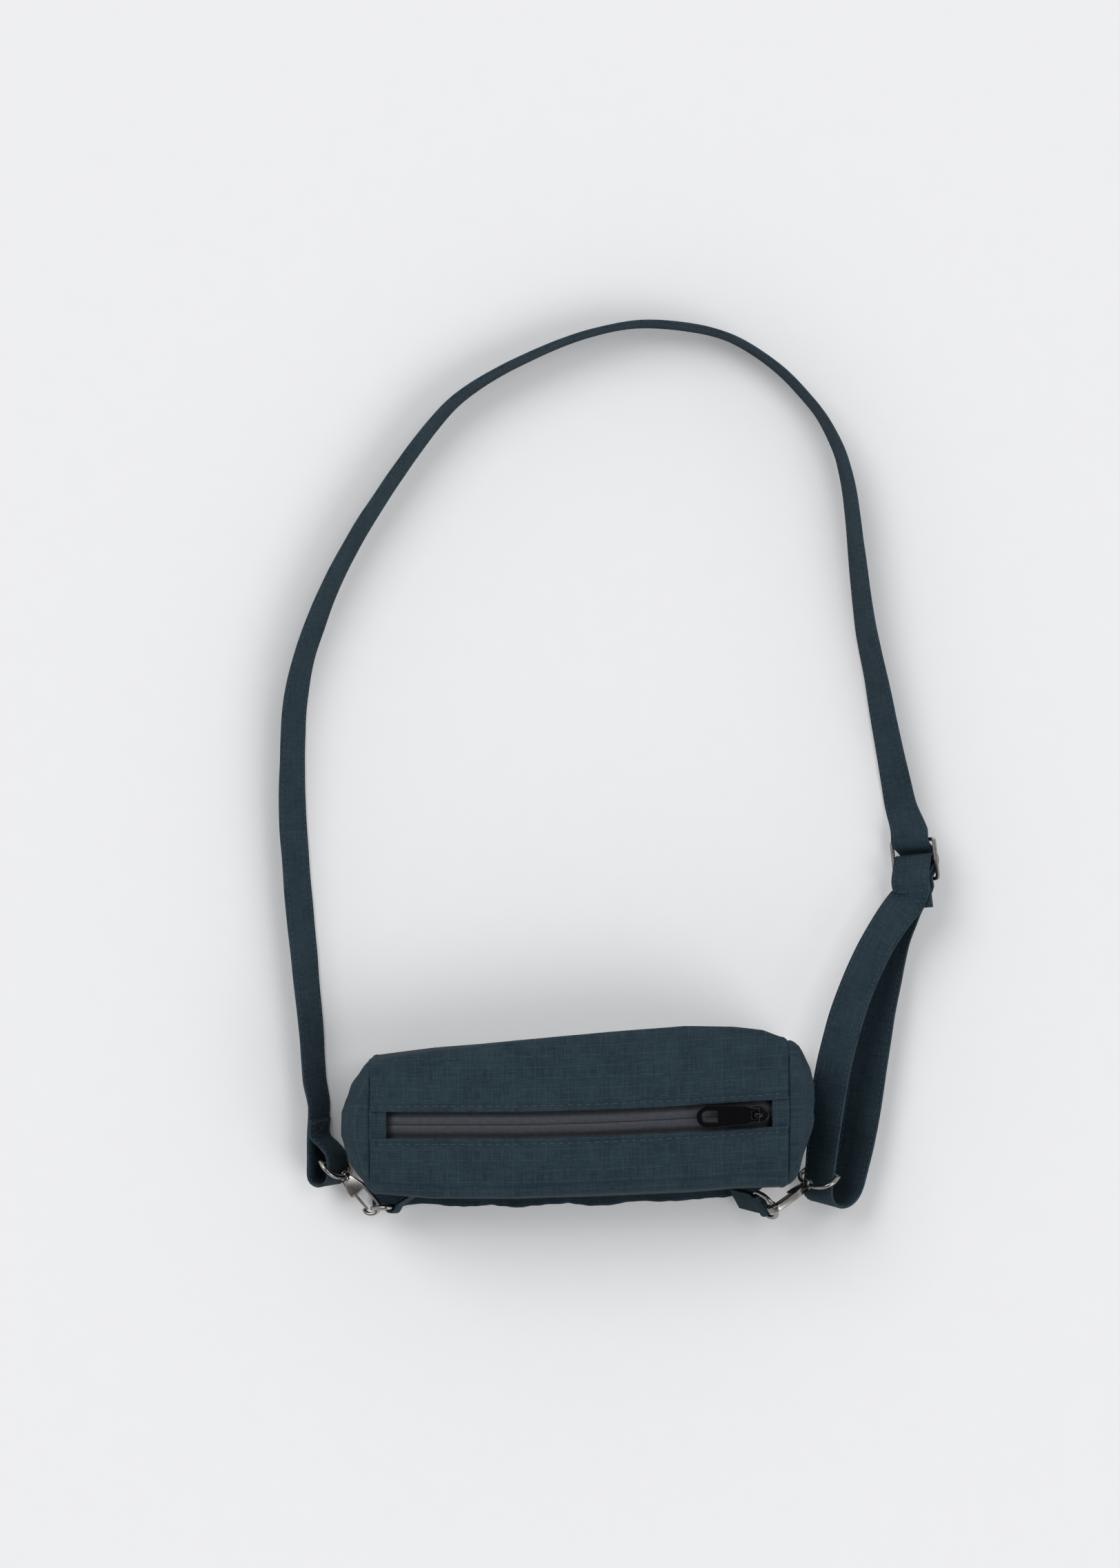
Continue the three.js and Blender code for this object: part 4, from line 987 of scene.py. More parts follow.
def puller_tab():
    """Pull tab: neck round the bridge, long body, and a rounded end with a finger hole."""
    hole_start = BRIDGE_OUTER_RADIUS + FIT_GAP * 2
    arm = BRIDGE_WIDTH / 2 + FIT_GAP * 2
    wide, narrow = PULLER_WIDE / 2, PULLER_NARROW / 2
    neck = wide * 0.62
    shoulder = -hole_start * 1.9
    outline = [
        (PULLER_PIN_RADIUS, -neck), (PULLER_PIN_RADIUS, neck), (-hole_start, neck), (shoulder, narrow),
    ]
    outline += arc(-PULLER_LENGTH + wide, 0, wide, 90, 270, 28)
    outline += [(shoulder, -narrow), (-hole_start, -neck)]
    bridge_hole = [
        (-PULLER_PIN_RADIUS, -arm), (-hole_start, -arm), (-hole_start, arm), (-PULLER_PIN_RADIUS, arm)
    ]
    round_radius = PULLER_HOLE_WIDTH / 2
    hole_end = -PULLER_LENGTH + (PULLER_WIDE - PULLER_HOLE_WIDTH) / 2
    near = hole_end + PULLER_HOLE_LENGTH
    corner = 1
    finger_hole = arc(near - corner, round_radius - corner, corner, 0, 90, 5)
    finger_hole += arc(hole_end + round_radius, 0, round_radius, 90, 270, 22)
    finger_hole += arc(near - corner, corner - round_radius, corner, 270, 360, 5)
    return outline_plate("puller", outline, [bridge_hole, finger_hole], PULLER_THICKNESS, 0.5)


slider_mesh = at(slider_body(), Matrix.Translation((slider_x * MM, slider_y * MM, slider_base * MM)))
finish_piece("zip_slider_cast", slider_mesh, enamel, "bag", ["zip_slider"])
puller_place = Matrix.Translation((slider_x * MM, slider_y * MM, pin_level * MM))
puller_place = puller_place @ Matrix.Rotation(math.radians(PULLER_TURN), 4, "Z")
puller_mesh = at(puller_tab(), puller_place)
finish_piece("zip_puller_cast", puller_mesh, enamel, "puller", ["zip_puller"])


# Strap: the step for its slope, how near two points merge, and how close its stations stand
SAME_PLACE = 1e-4
SAME_SPOT = 0.002
STATION_SPACING = 1.9


def curve_point(knots, place):
    """A smooth curve through knots, evenly weighted by the root of their spacing."""
    count = len(knots)
    spot = (count - 1) * place
    index = min(int(math.floor(spot)), count - 2)
    weight = spot - index
    before = knots[index - 1] if index > 0 else 2 * knots[0] - knots[1]
    after = knots[index + 2] if index + 2 < count else 2 * knots[-1] - knots[-2]
    first, second = knots[index], knots[index + 1]
    gaps = [
        np.sum((b - a) ** 2) ** 0.25 for a, b in ((before, first), (first, second), (second, after))
    ]
    middle = gaps[1] if gaps[1] > SAME_PLACE else 1.0
    lead = gaps[0] if gaps[0] > SAME_PLACE else middle
    trail = gaps[2] if gaps[2] > SAME_PLACE else middle
    leave = (first - before) / lead - (second - before) / (lead + middle) + (second - first) / middle
    arrive = (second - first) / middle - (after - first) / (middle + trail) + (after - second) / trail
    leave, arrive = leave * middle, arrive * middle
    bend = -3 * first + 3 * second - 2 * leave - arrive
    twist = 2 * first - 2 * second + leave + arrive
    return first + leave * weight + bend * weight ** 2 + twist * weight ** 3


def width_direction(heading, lean):
    """Direction of the strap's width: it leans outwards from its heading on the ground."""
    outward = unit(np.array([-heading[1], heading[0], 0.0]))
    return outward * math.cos(math.radians(lean)) + UP * math.sin(math.radians(lean))


def resting_level(lean):
    """Level of the strap's middle where its lower edge rests on the table."""
    turn = math.radians(lean)
    return STRAP_LIFT + STRAP_WIDTH / 2 * math.sin(turn) + STRAP_THICKNESS / 2 * math.cos(turn)


def route_stations(rows, facing=1):
    """Stations of middle and width along a route; facing is -1 for rows that run backwards."""
    knots = [np.array([row[0] * HALF_ARCH, row[1] * ARCH_LENGTH, 0.0]) for row in rows]
    last = len(rows) - 1
    steps = last * 2
    stations = []
    for k in range(steps + 1):
        place = k / steps
        center = curve_point(knots, place)
        low, high = max(place - SAME_PLACE, 0), min(place + SAME_PLACE, 1)
        heading = unit(curve_point(knots, high) - curve_point(knots, low))
        index = min(int(place * last), last - 1)
        share = place * last - index
        before, after = rows[index], rows[index + 1]
        lean = before[-1] + (after[-1] - before[-1]) * share
        if len(before) == 3:
            center[2] = resting_level(lean)
        else:
            center[2] = (before[2] + (after[2] - before[2]) * share) * STRAP_WIDTH
        stations.append((center, width_direction(heading * facing, lean)))
    return stations


# Adjuster's middle in the same shares as the strap's route, its lean and its turn
ADJUSTER_ACROSS = 1.088
ADJUSTER_UP = 0.3265
ADJUSTER_LEVEL = 0.645
ADJUSTER_LEAN = 36
ADJUSTER_TURN = 6.3
adjuster_center = np.array(
    [ADJUSTER_ACROSS * HALF_ARCH, ADJUSTER_UP * ARCH_LENGTH, ADJUSTER_LEVEL * STRAP_WIDTH]
)
adjuster_turn = math.radians(ADJUSTER_TURN)
adjuster_down = np.array([math.sin(adjuster_turn), -math.cos(adjuster_turn), 0.0])
adjuster_width = width_direction(adjuster_down, ADJUSTER_LEAN)
adjuster_out = -unit(np.cross(adjuster_width, adjuster_down))


def at_adjuster(places):
    """Stations on the adjuster, from how far down along the strap and how far out of its plane."""
    return [
        (adjuster_center + adjuster_down * down + adjuster_out * out, adjuster_width)
        for down, out in places
    ]


bar_reach = ADJUSTER_LENGTH / 2 - ADJUSTER_BAR / 2
bar_corner = math.hypot(ADJUSTER_BAR / 2, ADJUSTER_THICKNESS / 2)
wrap_radius = bar_corner + FIT_GAP + STRAP_THICKNESS / 2
over_bar = wrap_radius + FIT_GAP * 2
under_bar = wrap_radius + STRAP_THICKNESS + FIT_GAP * 4
short_end_over = over_bar + STRAP_THICKNESS + FIT_GAP * 4
sewn_step = STRAP_THICKNESS - 0.3
sewn_level = short_end_over + sewn_step

# The running strap goes over the top bar, under the middle bar and over the bottom bar
running_strap = at_adjuster([
    (-bar_reach - 6, over_bar * 0.8),
    (-bar_reach, over_bar),
    (-bar_reach * 0.78, over_bar * 0.6),
    (-bar_reach * 0.35, -under_bar * 0.8),
    (0, -under_bar),
    (bar_reach * 0.3, -under_bar * 0.92),
    (bar_reach * 0.62, -under_bar * 0.28),
    (bar_reach * 0.85, over_bar * 0.58),
    (bar_reach, over_bar),
    (bar_reach + 4, over_bar * 0.7),
])
wrap = [
    (-wrap_radius * math.sin(k / 6 * math.pi), wrap_radius * math.cos(k / 6 * math.pi))
    for k in range(7)
]
wrapped_end = at_adjuster([
    (bar_reach + 6, sewn_level),
    (bar_reach, sewn_level),
    (bar_reach * 0.45, sewn_level * 0.68),
    *wrap,
    (bar_reach * 0.25, -wrap_radius * 0.8),
    (bar_reach * 0.5, short_end_over * 0.25),
    (bar_reach * 0.75, short_end_over * 0.78),
    (bar_reach, short_end_over),
    (bar_reach + 6, short_end_over),
    (bar_reach + 16, short_end_over - FIT_GAP),
])


LOOP_FULLNESS = 0.92


def half_turn(start, end, out, width, steps=8):
    """Half turn of the strap from one layer to the other, bulging away along a direction."""
    middle = (start + end) / 2
    arm = start - middle
    stations = []
    for k in range(1, steps):
        turn = k / steps * math.pi
        bulge = out * np.linalg.norm(arm) * LOOP_FULLNESS * math.sin(turn)
        stations.append((middle + arm * math.cos(turn) + bulge, width))
    return stations


# Left end of the strap: its place across, the loop's foot, the sewn stretch, and the lean
LEFT_ACROSS = -0.847
LEFT_FOOT = -30.0
LEFT_SEWN_TOP = 2.2
LEFT_SEWN_FOOT = -8.0
LEFT_LEAN = 66
left_turn = math.radians(LEFT_LEAN)
left_width = width_direction(np.array([0.0, 1.0, 0.0]), LEFT_LEAN)
left_out = np.array([math.sin(left_turn), 0.0, math.cos(left_turn)])


def at_left(y, out):
    """A station on the left end, from its place along it and how far out of its plane."""
    middle = np.array([LEFT_ACROSS * HALF_ARCH, y, resting_level(LEFT_LEAN)])
    return middle + left_out * out, left_width


left_foot = at_left(LEFT_FOOT, 0)
left_foot_back = at_left(LEFT_FOOT, LEFT_LOOP_DEPTH)
left_end = [
    at_left(LEFT_SEWN_TOP, sewn_step),
    at_left(LEFT_SEWN_FOOT, sewn_step),
    at_left(LEFT_SEWN_FOOT * 1.6, LEFT_LOOP_DEPTH * 0.55),
    at_left(LEFT_SEWN_FOOT * 2.3, LEFT_LOOP_DEPTH * 0.94),
    left_foot_back,
    *half_turn(left_foot_back[0], left_foot[0], np.array([0.0, -1.0, 0.0]), left_width),
    left_foot,
    at_left(LEFT_FOOT / 1.5, 0),
    at_left(LEFT_SEWN_FOOT, 0),
]
arch = route_stations(STRAP_ROUTE)
lower_layer = route_stations(LOWER_LAYER)
upper_layer = route_stations(UPPER_LAYER, -1)
foot, rise = lower_layer[-1], upper_layer[0]
foot_turned = math.radians(10)
turn_out = np.array([-math.sin(foot_turned), -math.cos(foot_turned), 0.0])
foot_turn = half_turn(foot[0], rise[0], turn_out, unit(foot[1] + rise[1]))
whole_strap = [
    *left_end, *arch[1:], *running_strap, *lower_layer[1:], *foot_turn, *upper_layer, *wrapped_end
]


def fine_stations(stations):
    """The same strap with stations close together, and each one's distance along it."""
    knots = [center for center, _ in stations]
    centers, widths = [], []
    for k in range(len(knots) - 1):
        span = np.linalg.norm(knots[k + 1] - knots[k])
        steps = max(int(round(span / STATION_SPACING)), 1)
        for step in range(steps):
            share = step / steps
            centers.append(curve_point(knots, (k + share) / (len(knots) - 1)))
            widths.append(unit(stations[k][1] * (1 - share) + stations[k + 1][1] * share))
    centers.append(knots[-1])
    widths.append(stations[-1][1])
    centers, widths = np.array(centers), np.array(widths)
    for _ in range(2):
        widths[1:-1] = unit(widths[:-2] + widths[1:-1] * 2 + widths[2:])
    faces = unit(np.cross(unit(np.gradient(centers, axis=0)), widths))
    return centers, widths, faces, walked(centers)


def spots_across(half, near_edge, inner, count):
    """Places across a band: close together near both edges and even between."""
    near = half - np.array(near_edge)
    return np.concatenate([near, np.linspace(half - inner, inner - half, count), -near[::-1]])


def rounded_edge(from_edge, radius):
    """Share of a band's thickness that is left near its rounded edge."""
    return math.sqrt(max(1 - max(1 - from_edge / radius, 0) ** 2, 0))


def strap_outline():
    """Half section of the strap: spots across its width, and its half thickness there."""
    edge = STRAP_WIDTH / 2
    spots = spots_across(edge, [0.0, 0.12, 0.4, 0.9, 1.5, 2.1, 2.7, 3.4], 5, 9)
    halves = []
    for from_edge in edge - abs(spots):
        rounded = rounded_edge(from_edge, 0.9)
        sewn = STRAP_STITCH_SINK * bell(from_edge - STRAP_STITCH_INSET, 0.5)
        fold = STRAP_FOLD_RISE * bell(from_edge - 1.0, 0.7)
        halves.append(STRAP_THICKNESS / 2 * rounded * 0.94 - sewn + fold * rounded)
    return spots, np.array(halves)


# Waves of the strap, then where it is held: a stretch from the adjuster, and above the hooks
EDGE_WAVE = 0.45
FACE_WAVE = 0.35
HELD_BY_ADJUSTER = 24
HELD_BY_HOOKS = -12
FREE_AFTER = 30


def strap_sag(along, spot, free):
    """Slight waves of the strap's two edges and of its face, by distance along it."""
    side = spot / (STRAP_WIDTH / 2)
    edge_wave = EDGE_WAVE * ripple(along, side * 9, 4, 21) * abs(side) ** 1.5
    face_wave = FACE_WAVE * ripple(along, spot, 11, 33)
    return (edge_wave + face_wave) * free


def strap_freedom(centers):
    """How freely the strap waves: not at the adjuster and not where it lies close to itself."""
    from_adjuster = np.linalg.norm(centers - adjuster_center, axis=1)
    open_run = np.clip((from_adjuster - HELD_BY_ADJUSTER) / FREE_AFTER, 0.12, 1)
    above_hooks = np.clip((centers[:, 1] - HELD_BY_HOOKS) / FREE_AFTER, 0.25, 1)
    return open_run * above_hooks


strap_line = fine_stations(whole_strap)
strap_free = strap_freedom(strap_line[0])


def strap_mesh():
    """The strap as one closed band, with the cloth's map along it and over both faces."""
    centers, widths, faces, along = strap_line
    spots, halves = strap_outline()
    rows = []
    for k in range(len(centers)):
        waves = np.array([strap_sag(along[k], spot, strap_free[k]) for spot in spots])
        middle = centers[k] + np.outer(spots, widths[k]) + np.outer(waves, faces[k])
        out = np.outer(np.maximum(halves, 0.0), faces[k])
        rows.append(np.concatenate([middle + out, (middle - out)[::-1]]))
    across = np.concatenate([spots, spots[::-1], spots[:1]])
    across = np.repeat(across[None], len(rows), axis=0)
    walked_along = np.repeat(along[:, None], across.shape[1], axis=1)
    mesh = cloth_grid("strap", np.array(rows), walked_along, across, around=True)
    return mended(mesh, merge=SAME_SPOT)


finish_piece("strap_cloth", strap_mesh(), strap_ripstop, "bag", ["strap"])


# Stitches
def stitch_row(stitches, length, radius=THREAD_RADIUS):
    """Short threads from place, run and outward direction, half sunk into the cloth."""
    spans = np.array([-0.5, -0.28, 0.28, 0.5]) * length
    swells = np.array([0.35, 1.0, 1.0, 0.35]) * radius
    sinks = np.array([-0.9, 0.15, 0.15, -0.9]) * radius
    sides = 6
    points, faces = [], []
    for place, run, out in stitches:
        start = len(points)
        cross = unit(np.cross(run, out))
        for span, swell, sink in zip(spans, swells, sinks):
            for k in range(sides):
                turn = 2 * math.pi * k / sides
                points.append(
                    place + run * span + out * (sink + swell * math.sin(turn))
                    + cross * swell * math.cos(turn)
                )
        faces += grid_faces(len(spans), sides, True, start) + end_faces(len(spans), sides, start)
    return mesh_from("stitches", points, faces)


def zip_stitches():
    """Topstitching beside the zip, on both folded edges."""
    stitches = []
    reach = HALF_LENGTH - 4
    count = int(2 * reach / ZIP_STITCH_PITCH)
    for side in (-1, 1):
        for k in range(count):
            x = -reach + (k + 0.5) * 2 * reach / count
            along = x / HALF_LENGTH
            y = zip_line(along) + side * (SLOT_WIDTH / 2 + ZIP_STITCH_INSET)
            slope = (zip_line(along + 0.01) - zip_line(along - 0.01)) / (0.02 * HALF_LENGTH)
            place = np.array([x, y, face_level(along, y) - ZIP_STITCH_SUNK])
            stitches.append((place, unit(np.array([1, slope, 0.0])), UP))
    return stitch_row(stitches, ZIP_STITCH_LENGTH)


def strap_stitches():
    """Edge stitching on both faces of the whole strap."""
    centers, widths, faces, along = strap_line
    spots, halves = strap_outline()
    inset = STRAP_WIDTH / 2 - STRAP_STITCH_INSET
    near = len(spots) // 3
    half = float(np.interp(STRAP_STITCH_INSET, STRAP_WIDTH / 2 - spots[:near], halves[:near]))
    stitches = []
    for spot in (-inset, inset):
        for distance in np.arange(2, along[-1] - 2, STRAP_STITCH_PITCH):
            k = min(int(np.searchsorted(along, distance)), len(along) - 1)
            share = (distance - along[k - 1]) / max(along[k] - along[k - 1], 1e-6)
            center = centers[k - 1] * (1 - share) + centers[k] * share
            wave = strap_sag(distance, spot, strap_free[k])
            run = unit(centers[k] - centers[k - 1])
            for face in (1, -1):
                place = center + widths[k] * spot + faces[k] * (wave + face * (half + 0.05))
                stitches.append((place, run, faces[k] * face))
    return stitch_row(stitches, STRAP_STITCH_LENGTH, STRAP_THREAD_RADIUS)


def box_stitches():
    """The stitched square on the left end and the bar tack on the end at the adjuster."""
    stitches = []

    def sewn_line(start, end, out):
        span = np.linalg.norm(end - start)
        run = (end - start) / span
        for k in range(max(int(span / BOX_STITCH_PITCH), 1)):
            stitches.append((start + run * (k + 0.5) * BOX_STITCH_PITCH, run, out))

    half = STRAP_WIDTH / 2 - BOX_INSET
    level = sewn_step + STRAP_THICKNESS / 2 - 0.05
    top, bottom = LEFT_SEWN_TOP - 1.6, LEFT_SEWN_FOOT + 0.6
    corners = [
        at_left(y, level)[0] + left_width * spot
        for y, spot in ((top, -half), (top, half), (bottom, half), (bottom, -half))
    ]
    for first, second in ((0, 1), (1, 2), (2, 3), (3, 0), (0, 2), (1, 3)):
        sewn_line(corners[first], corners[second], left_out)
    for down in (bar_reach + 6, bar_reach + 12):
        middle = at_adjuster([(down, sewn_level + STRAP_THICKNESS / 2 - 0.1)])[0][0]
        sewn_line(middle - adjuster_width * half, middle + adjuster_width * half, adjuster_out)
    return stitch_row(stitches, BOX_STITCH_LENGTH, BOX_THREAD_RADIUS)


stitch_mesh = combine("stitches", [zip_stitches(), strap_stitches(), box_stitches()])
finish_piece("stitches", stitch_mesh, thread, "bag")


# Adjuster
SLOT_CORNER_RADIUS = 0.8


def adjuster_plate():
    """Three-bar slider: rounded frame with two slots."""
    inner = ADJUSTER_INNER_WIDTH / 2
    outline = rounded_box(inner + ADJUSTER_BAR, ADJUSTER_LENGTH / 2, ADJUSTER_BAR * 1.2, 7)
    slot_length = (ADJUSTER_LENGTH - 3 * ADJUSTER_BAR) / 2
    slot_place = (slot_length + ADJUSTER_BAR) / 2
    holes = [
        rounded_box(inner, slot_length / 2, SLOT_CORNER_RADIUS, 4, side * slot_place)
        for side in (1, -1)
    ]
    return outline_plate("adjuster", outline, holes, ADJUSTER_THICKNESS, 0.6)


adjuster_place = placed(adjuster_center, adjuster_width, -adjuster_down)
finish_piece(
    "strap_slider_cast", at(adjuster_plate(), adjuster_place), nickel, "bag", ["strap_slider"]
)

# Swivel hooks, rings and their tabs
body_start = EYE_DEPTH + EYE_BASE_LENGTH + FIT_GAP
claw_center = body_start + CLAW_LENGTH - CLAW_OUTER_RADIUS
gate_pivot = body_start + CLAW_LENGTH - GATE_PIVOT_FROM_END
gate_line = -(CLAW_INNER_RADIUS - FIT_GAP - GATE_WIDTH / 2)
gate_axis = Matrix.Translation((gate_pivot * MM, gate_line * MM, 0))
ring_held = claw_center + CLAW_INNER_RADIUS - FIT_GAP * 2 - WIRE_RADIUS


def d_path(half, depth, power, bends):
    """A D of wire: straight bar along Y at X = 0, its round side towards +X."""
    path = [(0, y, 0) for y in np.linspace(-half * 0.9, half * 0.9, 9)]
    for turn in np.linspace(math.pi / 2, -math.pi / 2, bends)[1:-1]:
        path.append((depth * math.cos(turn) ** power, half * math.sin(turn), 0))
    return path


def swivel_eye():
    """Wire eye for the strap, with the swivel's base at its round side."""
    half = EYE_INNER_WIDTH / 2 + WIRE_RADIUS
    ring = wire_ring(d_path(half, EYE_DEPTH + WIRE_RADIUS, 0.45, 40), WIRE_RADIUS)
    start, end = EYE_DEPTH, EYE_DEPTH + EYE_BASE_LENGTH
    base = turned_rod(EYE_BASE_RADIUS, [
        (start - 0.1, 0.7), (start, 0.9), (start + 0.4, 1), (end - 0.4, 1), (end - 0.1, 0.93), (end, 0.8),
    ])
    return combine("eye", [ring, base])


def claw_body():
    """Cast claw with its collar, the swivel post, the rivet head and the gate's pin."""
    reach, outer = CLAW_INNER_RADIUS, CLAW_OUTER_RADIUS
    tip = claw_center - 1.8
    heel = 0.4 - outer
    shoulder = gate_pivot + GATE_BOSS_RADIUS + FIT_GAP * 2
    outline = [
        (body_start, -COLLAR_RADIUS),
        (gate_pivot - GATE_BOSS_RADIUS, heel),
        (gate_pivot + GATE_BOSS_RADIUS, heel),
        (shoulder, -reach * 0.4),
        (shoulder, reach),
    ]
    outline += arc(claw_center, 0, reach, 90, -90, 22)
    outline += [(tip, -reach), (tip, -outer * 0.92)]
    outline += arc(claw_center, 0, outer, -90, 90, 28)
    outline += [(gate_pivot, outer), (body_start, COLLAR_RADIUS)]
    plate = outline_plate("claw", outline, [], CLAW_THICKNESS, 0.9)
    fork_x = (GATE_BOSS_RADIUS * 2 + FIT_GAP * 4 + outer) / 2
    fork = Vector((gate_pivot + outer / 2, gate_line - outer / 2 + GATE_BOSS_RADIUS + FIT_GAP, 0))
    plate = without_box(plate, fork, (fork_x * 2, outer, GATE_THICKNESS + FIT_GAP * 2))
    rivet_end = EYE_DEPTH - FIT_GAP
    post = turned_rod(POST_RADIUS, [(EYE_DEPTH - WIRE_RADIUS, 1), (body_start + 1, 1)])
    rivet = turned_rod(RIVET_RADIUS, [
        (rivet_end - RIVET_LENGTH * back, share)
        for back, share in ((1, 0.3), (0.9, 0.65), (0.55, 0.95), (0.2, 1), (0, 0.9))
    ])
    collar = turned_rod(COLLAR_RADIUS, [
        (body_start + out, share) for out, share in ((0, 0.72), (0.3, 0.84), (1.5, 0.84), (2.2, 0.6))
    ])
    pin_half = CLAW_THICKNESS * 0.47
    pin = turned_rod(GATE_PIN_RADIUS, [
        (-pin_half - 0.12, 0.6), (-pin_half, 1), (pin_half, 1), (pin_half + 0.12, 0.6),
    ])
    at(pin, gate_axis @ Matrix.Rotation(math.pi / 2, 4, "Y"))
    return combine("claw", [plate, post, rivet, collar, pin])


def without_box(mesh, middle, sizes):
    """The mesh with a box cut out of it."""
    solid = bpy.data.objects.new("solid", mesh)
    box_mesh = bpy.data.meshes.new("cutter")
    box = bmesh.new()
    bmesh.ops.create_cube(box, size=1)
    bmesh.ops.scale(box, verts=box.verts, vec=Vector(sizes) * MM)
    bmesh.ops.translate(box, verts=box.verts, vec=middle * MM)
    box.to_mesh(box_mesh)
    box.free()
    cutter = bpy.data.objects.new("cutter", box_mesh)
    for item in (solid, cutter):
        bpy.context.scene.collection.objects.link(item)
    cut = solid.modifiers.new("cut", "BOOLEAN")
    cut.operation = "DIFFERENCE"
    cut.object = cutter
    cut.solver = "EXACT"
    graph = bpy.context.evaluated_depsgraph_get()
    result = bpy.data.meshes.new_from_object(solid.evaluated_get(graph))
    bpy.data.objects.remove(solid)
    bpy.data.objects.remove(cutter)
    return result


def gate_plate():
    """Sprung gate: a boss round the pin and a slim tongue to the claw's tip."""
    length = claw_center - gate_pivot
    outline = arc(0, 0, GATE_BOSS_RADIUS, 22, 338, 24)
    outline += [(length, -GATE_WIDTH / 2), (length, GATE_WIDTH / 2)]
    hole = arc(0, 0, GATE_PIN_RADIUS + FIT_GAP, 0, 345, 15)
    return outline_plate("gate", outline, [hole], GATE_THICKNESS, 0.3)


def ring_tab():
    """Folded tab of ripstop round the ring's bar: two layers that meet towards its root."""
    layer = TAB_THICKNESS
    eye = WIRE_RADIUS + FIT_GAP * 1.5
    neck = eye * 2.4
    bend = eye + layer / 2
    flat = layer * 0.55
    path = []
    for share in np.linspace(0, 1, 26):
        path.append((-TAB_LENGTH + share * (TAB_LENGTH - neck), flat, layer * 0.42))
    for share in np.linspace(0, 1, 9)[1:-1]:
        path.append((-neck * (1 - share), flat + (bend - flat) * smooth_step(share), layer * 0.45))
    for turn in np.radians(np.linspace(90, 0, 10)):
        path.append((bend * math.cos(turn), bend * math.sin(turn), layer / 2))
    loop = path + [(x, -z, half) for x, z, half in reversed(path[:-1])]
    line = np.array([(x, z) for x, z, _ in loop])
    runs = unit(np.gradient(line, axis=0))
    spots = spots_across(TAB_WIDTH / 2, [0, 0.15, 0.5, 1.1, 1.7, 2.4], 3.4, 7)
    rows = []
    for (x, z, thick), run in zip(loop, runs):
        top, under = [], []
        normal = np.array([-run[1], 0, run[0]])
        for spot in spots:
            from_edge = TAB_WIDTH / 2 - abs(spot)
            sewn = 0.2 * bell(from_edge - 1.7, 0.4)
            half = max(thick * rounded_edge(from_edge, 0.7) - sewn, 0)
            middle = np.array([x, spot, z])
            top.append(middle + normal * half)
            under.append(middle - normal * half)
        rows.append(top + under[::-1])
    return mended(closed_strip("tab", rows, walked(line)), merge=SAME_SPOT)


right_hold = upper_layer[2]
right_inward = unit(np.cross(np.array([0.0, 1.0, 0.0]), right_hold[1]))
eye_seat = STRAP_THICKNESS / 2 + WIRE_RADIUS + FIT_GAP * 6.5
left_bar = at_left(LEFT_FOOT + EYE_DEPTH * 0.75, LEFT_LOOP_DEPTH - eye_seat)[0]

# Side, eye bar's place, strap's width there, heading, climb, claw's flat side, ring bar,
# ring reach, tab reach
HOOKS = [
    ("left", left_bar, left_width, -48, 12, (-0.196, 0.098, 0.976), (-0.196, 0.098, 0.976),
     (-0.98, -0.052, -0.192), (0.819, 0.563, 0.108)),
    ("right", right_hold[0] + right_inward * eye_seat, right_hold[1], 213, 20, (-0.5, 0.83, 0.2),
     (-0.423, 0.792, 0.436), (0.6, -0.116, 0.792), (-0.627, 0.096, -0.773)),
]

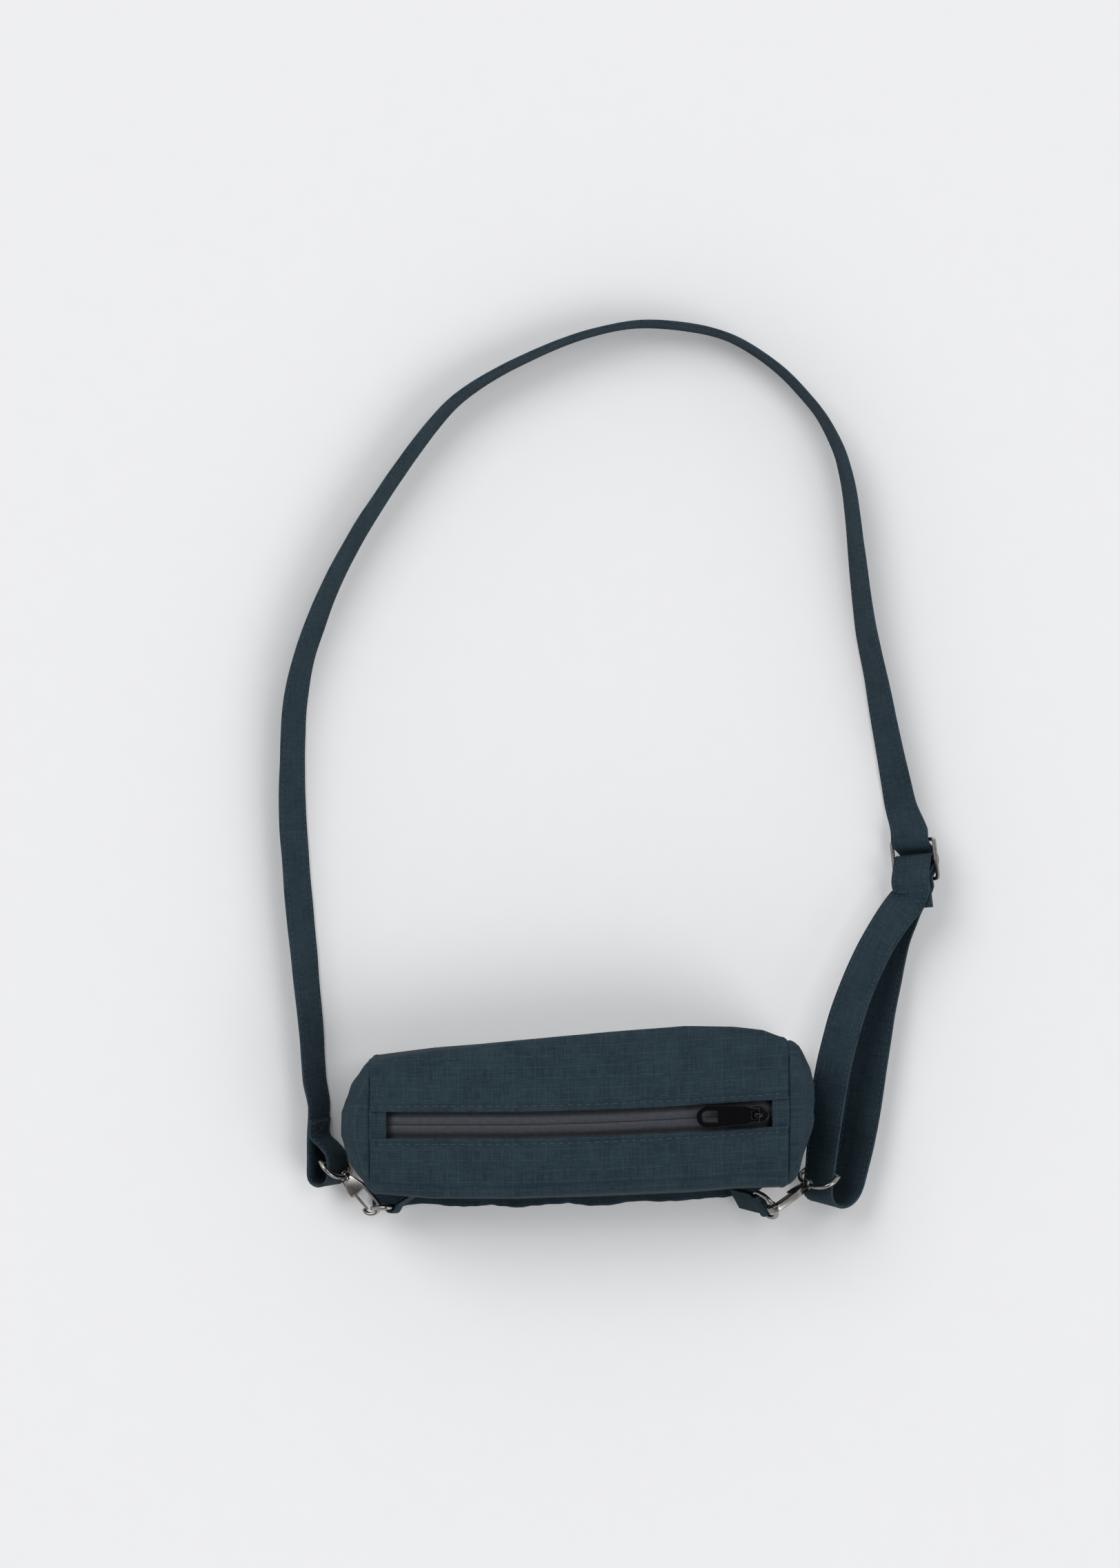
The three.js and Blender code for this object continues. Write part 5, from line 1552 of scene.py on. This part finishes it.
for side, bar, strap_width, heading, climb, claw_side, ring_bar, ring_reach, tab_reach in HOOKS:
    heading, climb = math.radians(heading), math.radians(climb)
    ahead = np.array([math.cos(heading), math.sin(heading), 0.0])
    direction = ahead * math.cos(climb) + UP * math.sin(climb)
    ring_bar, ring_reach, tab_reach = (np.array(v) for v in (ring_bar, ring_reach, tab_reach))
    claw_place = placed(bar, direction, np.cross(np.array(claw_side), direction))
    ring_middle = bar + direction * ring_held - unit(ring_reach) * D_RING_DEPTH
    ring_path = d_path(D_RING_INNER_WIDTH / 2 + WIRE_RADIUS, D_RING_DEPTH, 0.75, 40)
    for part, kind, mesh, place, body in (
        ("hook_eye", "cast", swivel_eye(), placed(bar, direction, strap_width), "bag"),
        ("hook_body", "cast", claw_body(), claw_place, "bag"),
        ("hook_gate", "cast", gate_plate(), claw_place @ gate_axis, f"gate_{side}"),
        ("d_ring", "wire", wire_ring(ring_path, WIRE_RADIUS), placed(ring_middle, ring_reach, ring_bar),
         "bag"),
    ):
        node = f"{part}_{side}"
        finish_piece(f"{node}_{kind}", at(mesh, place), nickel, body, [node])
    tab_mesh = at(ring_tab(), placed(ring_middle, -tab_reach, ring_bar))
    finish_piece(f"ring_tab_{side}_cloth", tab_mesh, body_ripstop, "bag", [f"ring_tab_{side}"])


# Floor, light and camera
def studio():
    """Pale floor, a sky that is lighter at its foot, and soft suns from three sides."""
    bpy.ops.mesh.primitive_plane_add(size=FLOOR_SIZE * MM, location=(0, 0, FLOOR_LEVEL * MM))
    floor = bpy.context.object
    floor.name = "studio_floor"
    floor.data.materials.append(pale_paper())
    world = bpy.data.worlds.new("studio")
    world.use_nodes = True
    tree = world.node_tree
    background = tree.nodes["Background"]
    place = add_node(tree, "TexCoord", out="Generated")
    height = add_node(tree, "SeparateXYZ", [place], 2)
    ramp = add_node(tree, "MapRange", {0: height, 1: 0.1, 2: 0.95})
    ends = {0: ramp, 6: linear("#fcfcff"), 7: linear("#626468")}
    sky = add_node(tree, "Mix", ends, 2, data_type="RGBA")
    tree.links.new(sky, background.inputs["Color"])
    background.inputs["Strength"].default_value = SKY_STRENGTH
    bpy.context.scene.world = world
    for name, (side, spread, power) in SUNS.items():
        light = bpy.data.lights.new(name, "SUN")
        light.angle = math.radians(spread)
        light.energy = power
        lamp = bpy.data.objects.new(name, light)
        lamp.rotation_euler = (-Vector(side)).to_track_quat("-Z", "Y").to_euler()
        bpy.context.scene.collection.objects.link(lamp)


def camera():
    """Camera straight above, framed like the photograph."""
    data = bpy.data.cameras.new("camera")
    data.sensor_fit = "VERTICAL"
    data.sensor_height = SENSOR_HEIGHT
    data.lens = SENSOR_HEIGHT * CAMERA_PLACE[2] / VIEW_HEIGHT
    data.clip_end = FAR_CLIP * MM
    holder = bpy.data.objects.new("camera", data)
    holder.location = [c * MM for c in CAMERA_PLACE]
    bpy.context.scene.collection.objects.link(holder)
    bpy.context.scene.camera = holder


camera()
studio()
bpy.context.scene.view_settings.view_transform = "Standard"
bpy.context.scene.view_settings.look = "None"

bpy.context.view_layer.update()
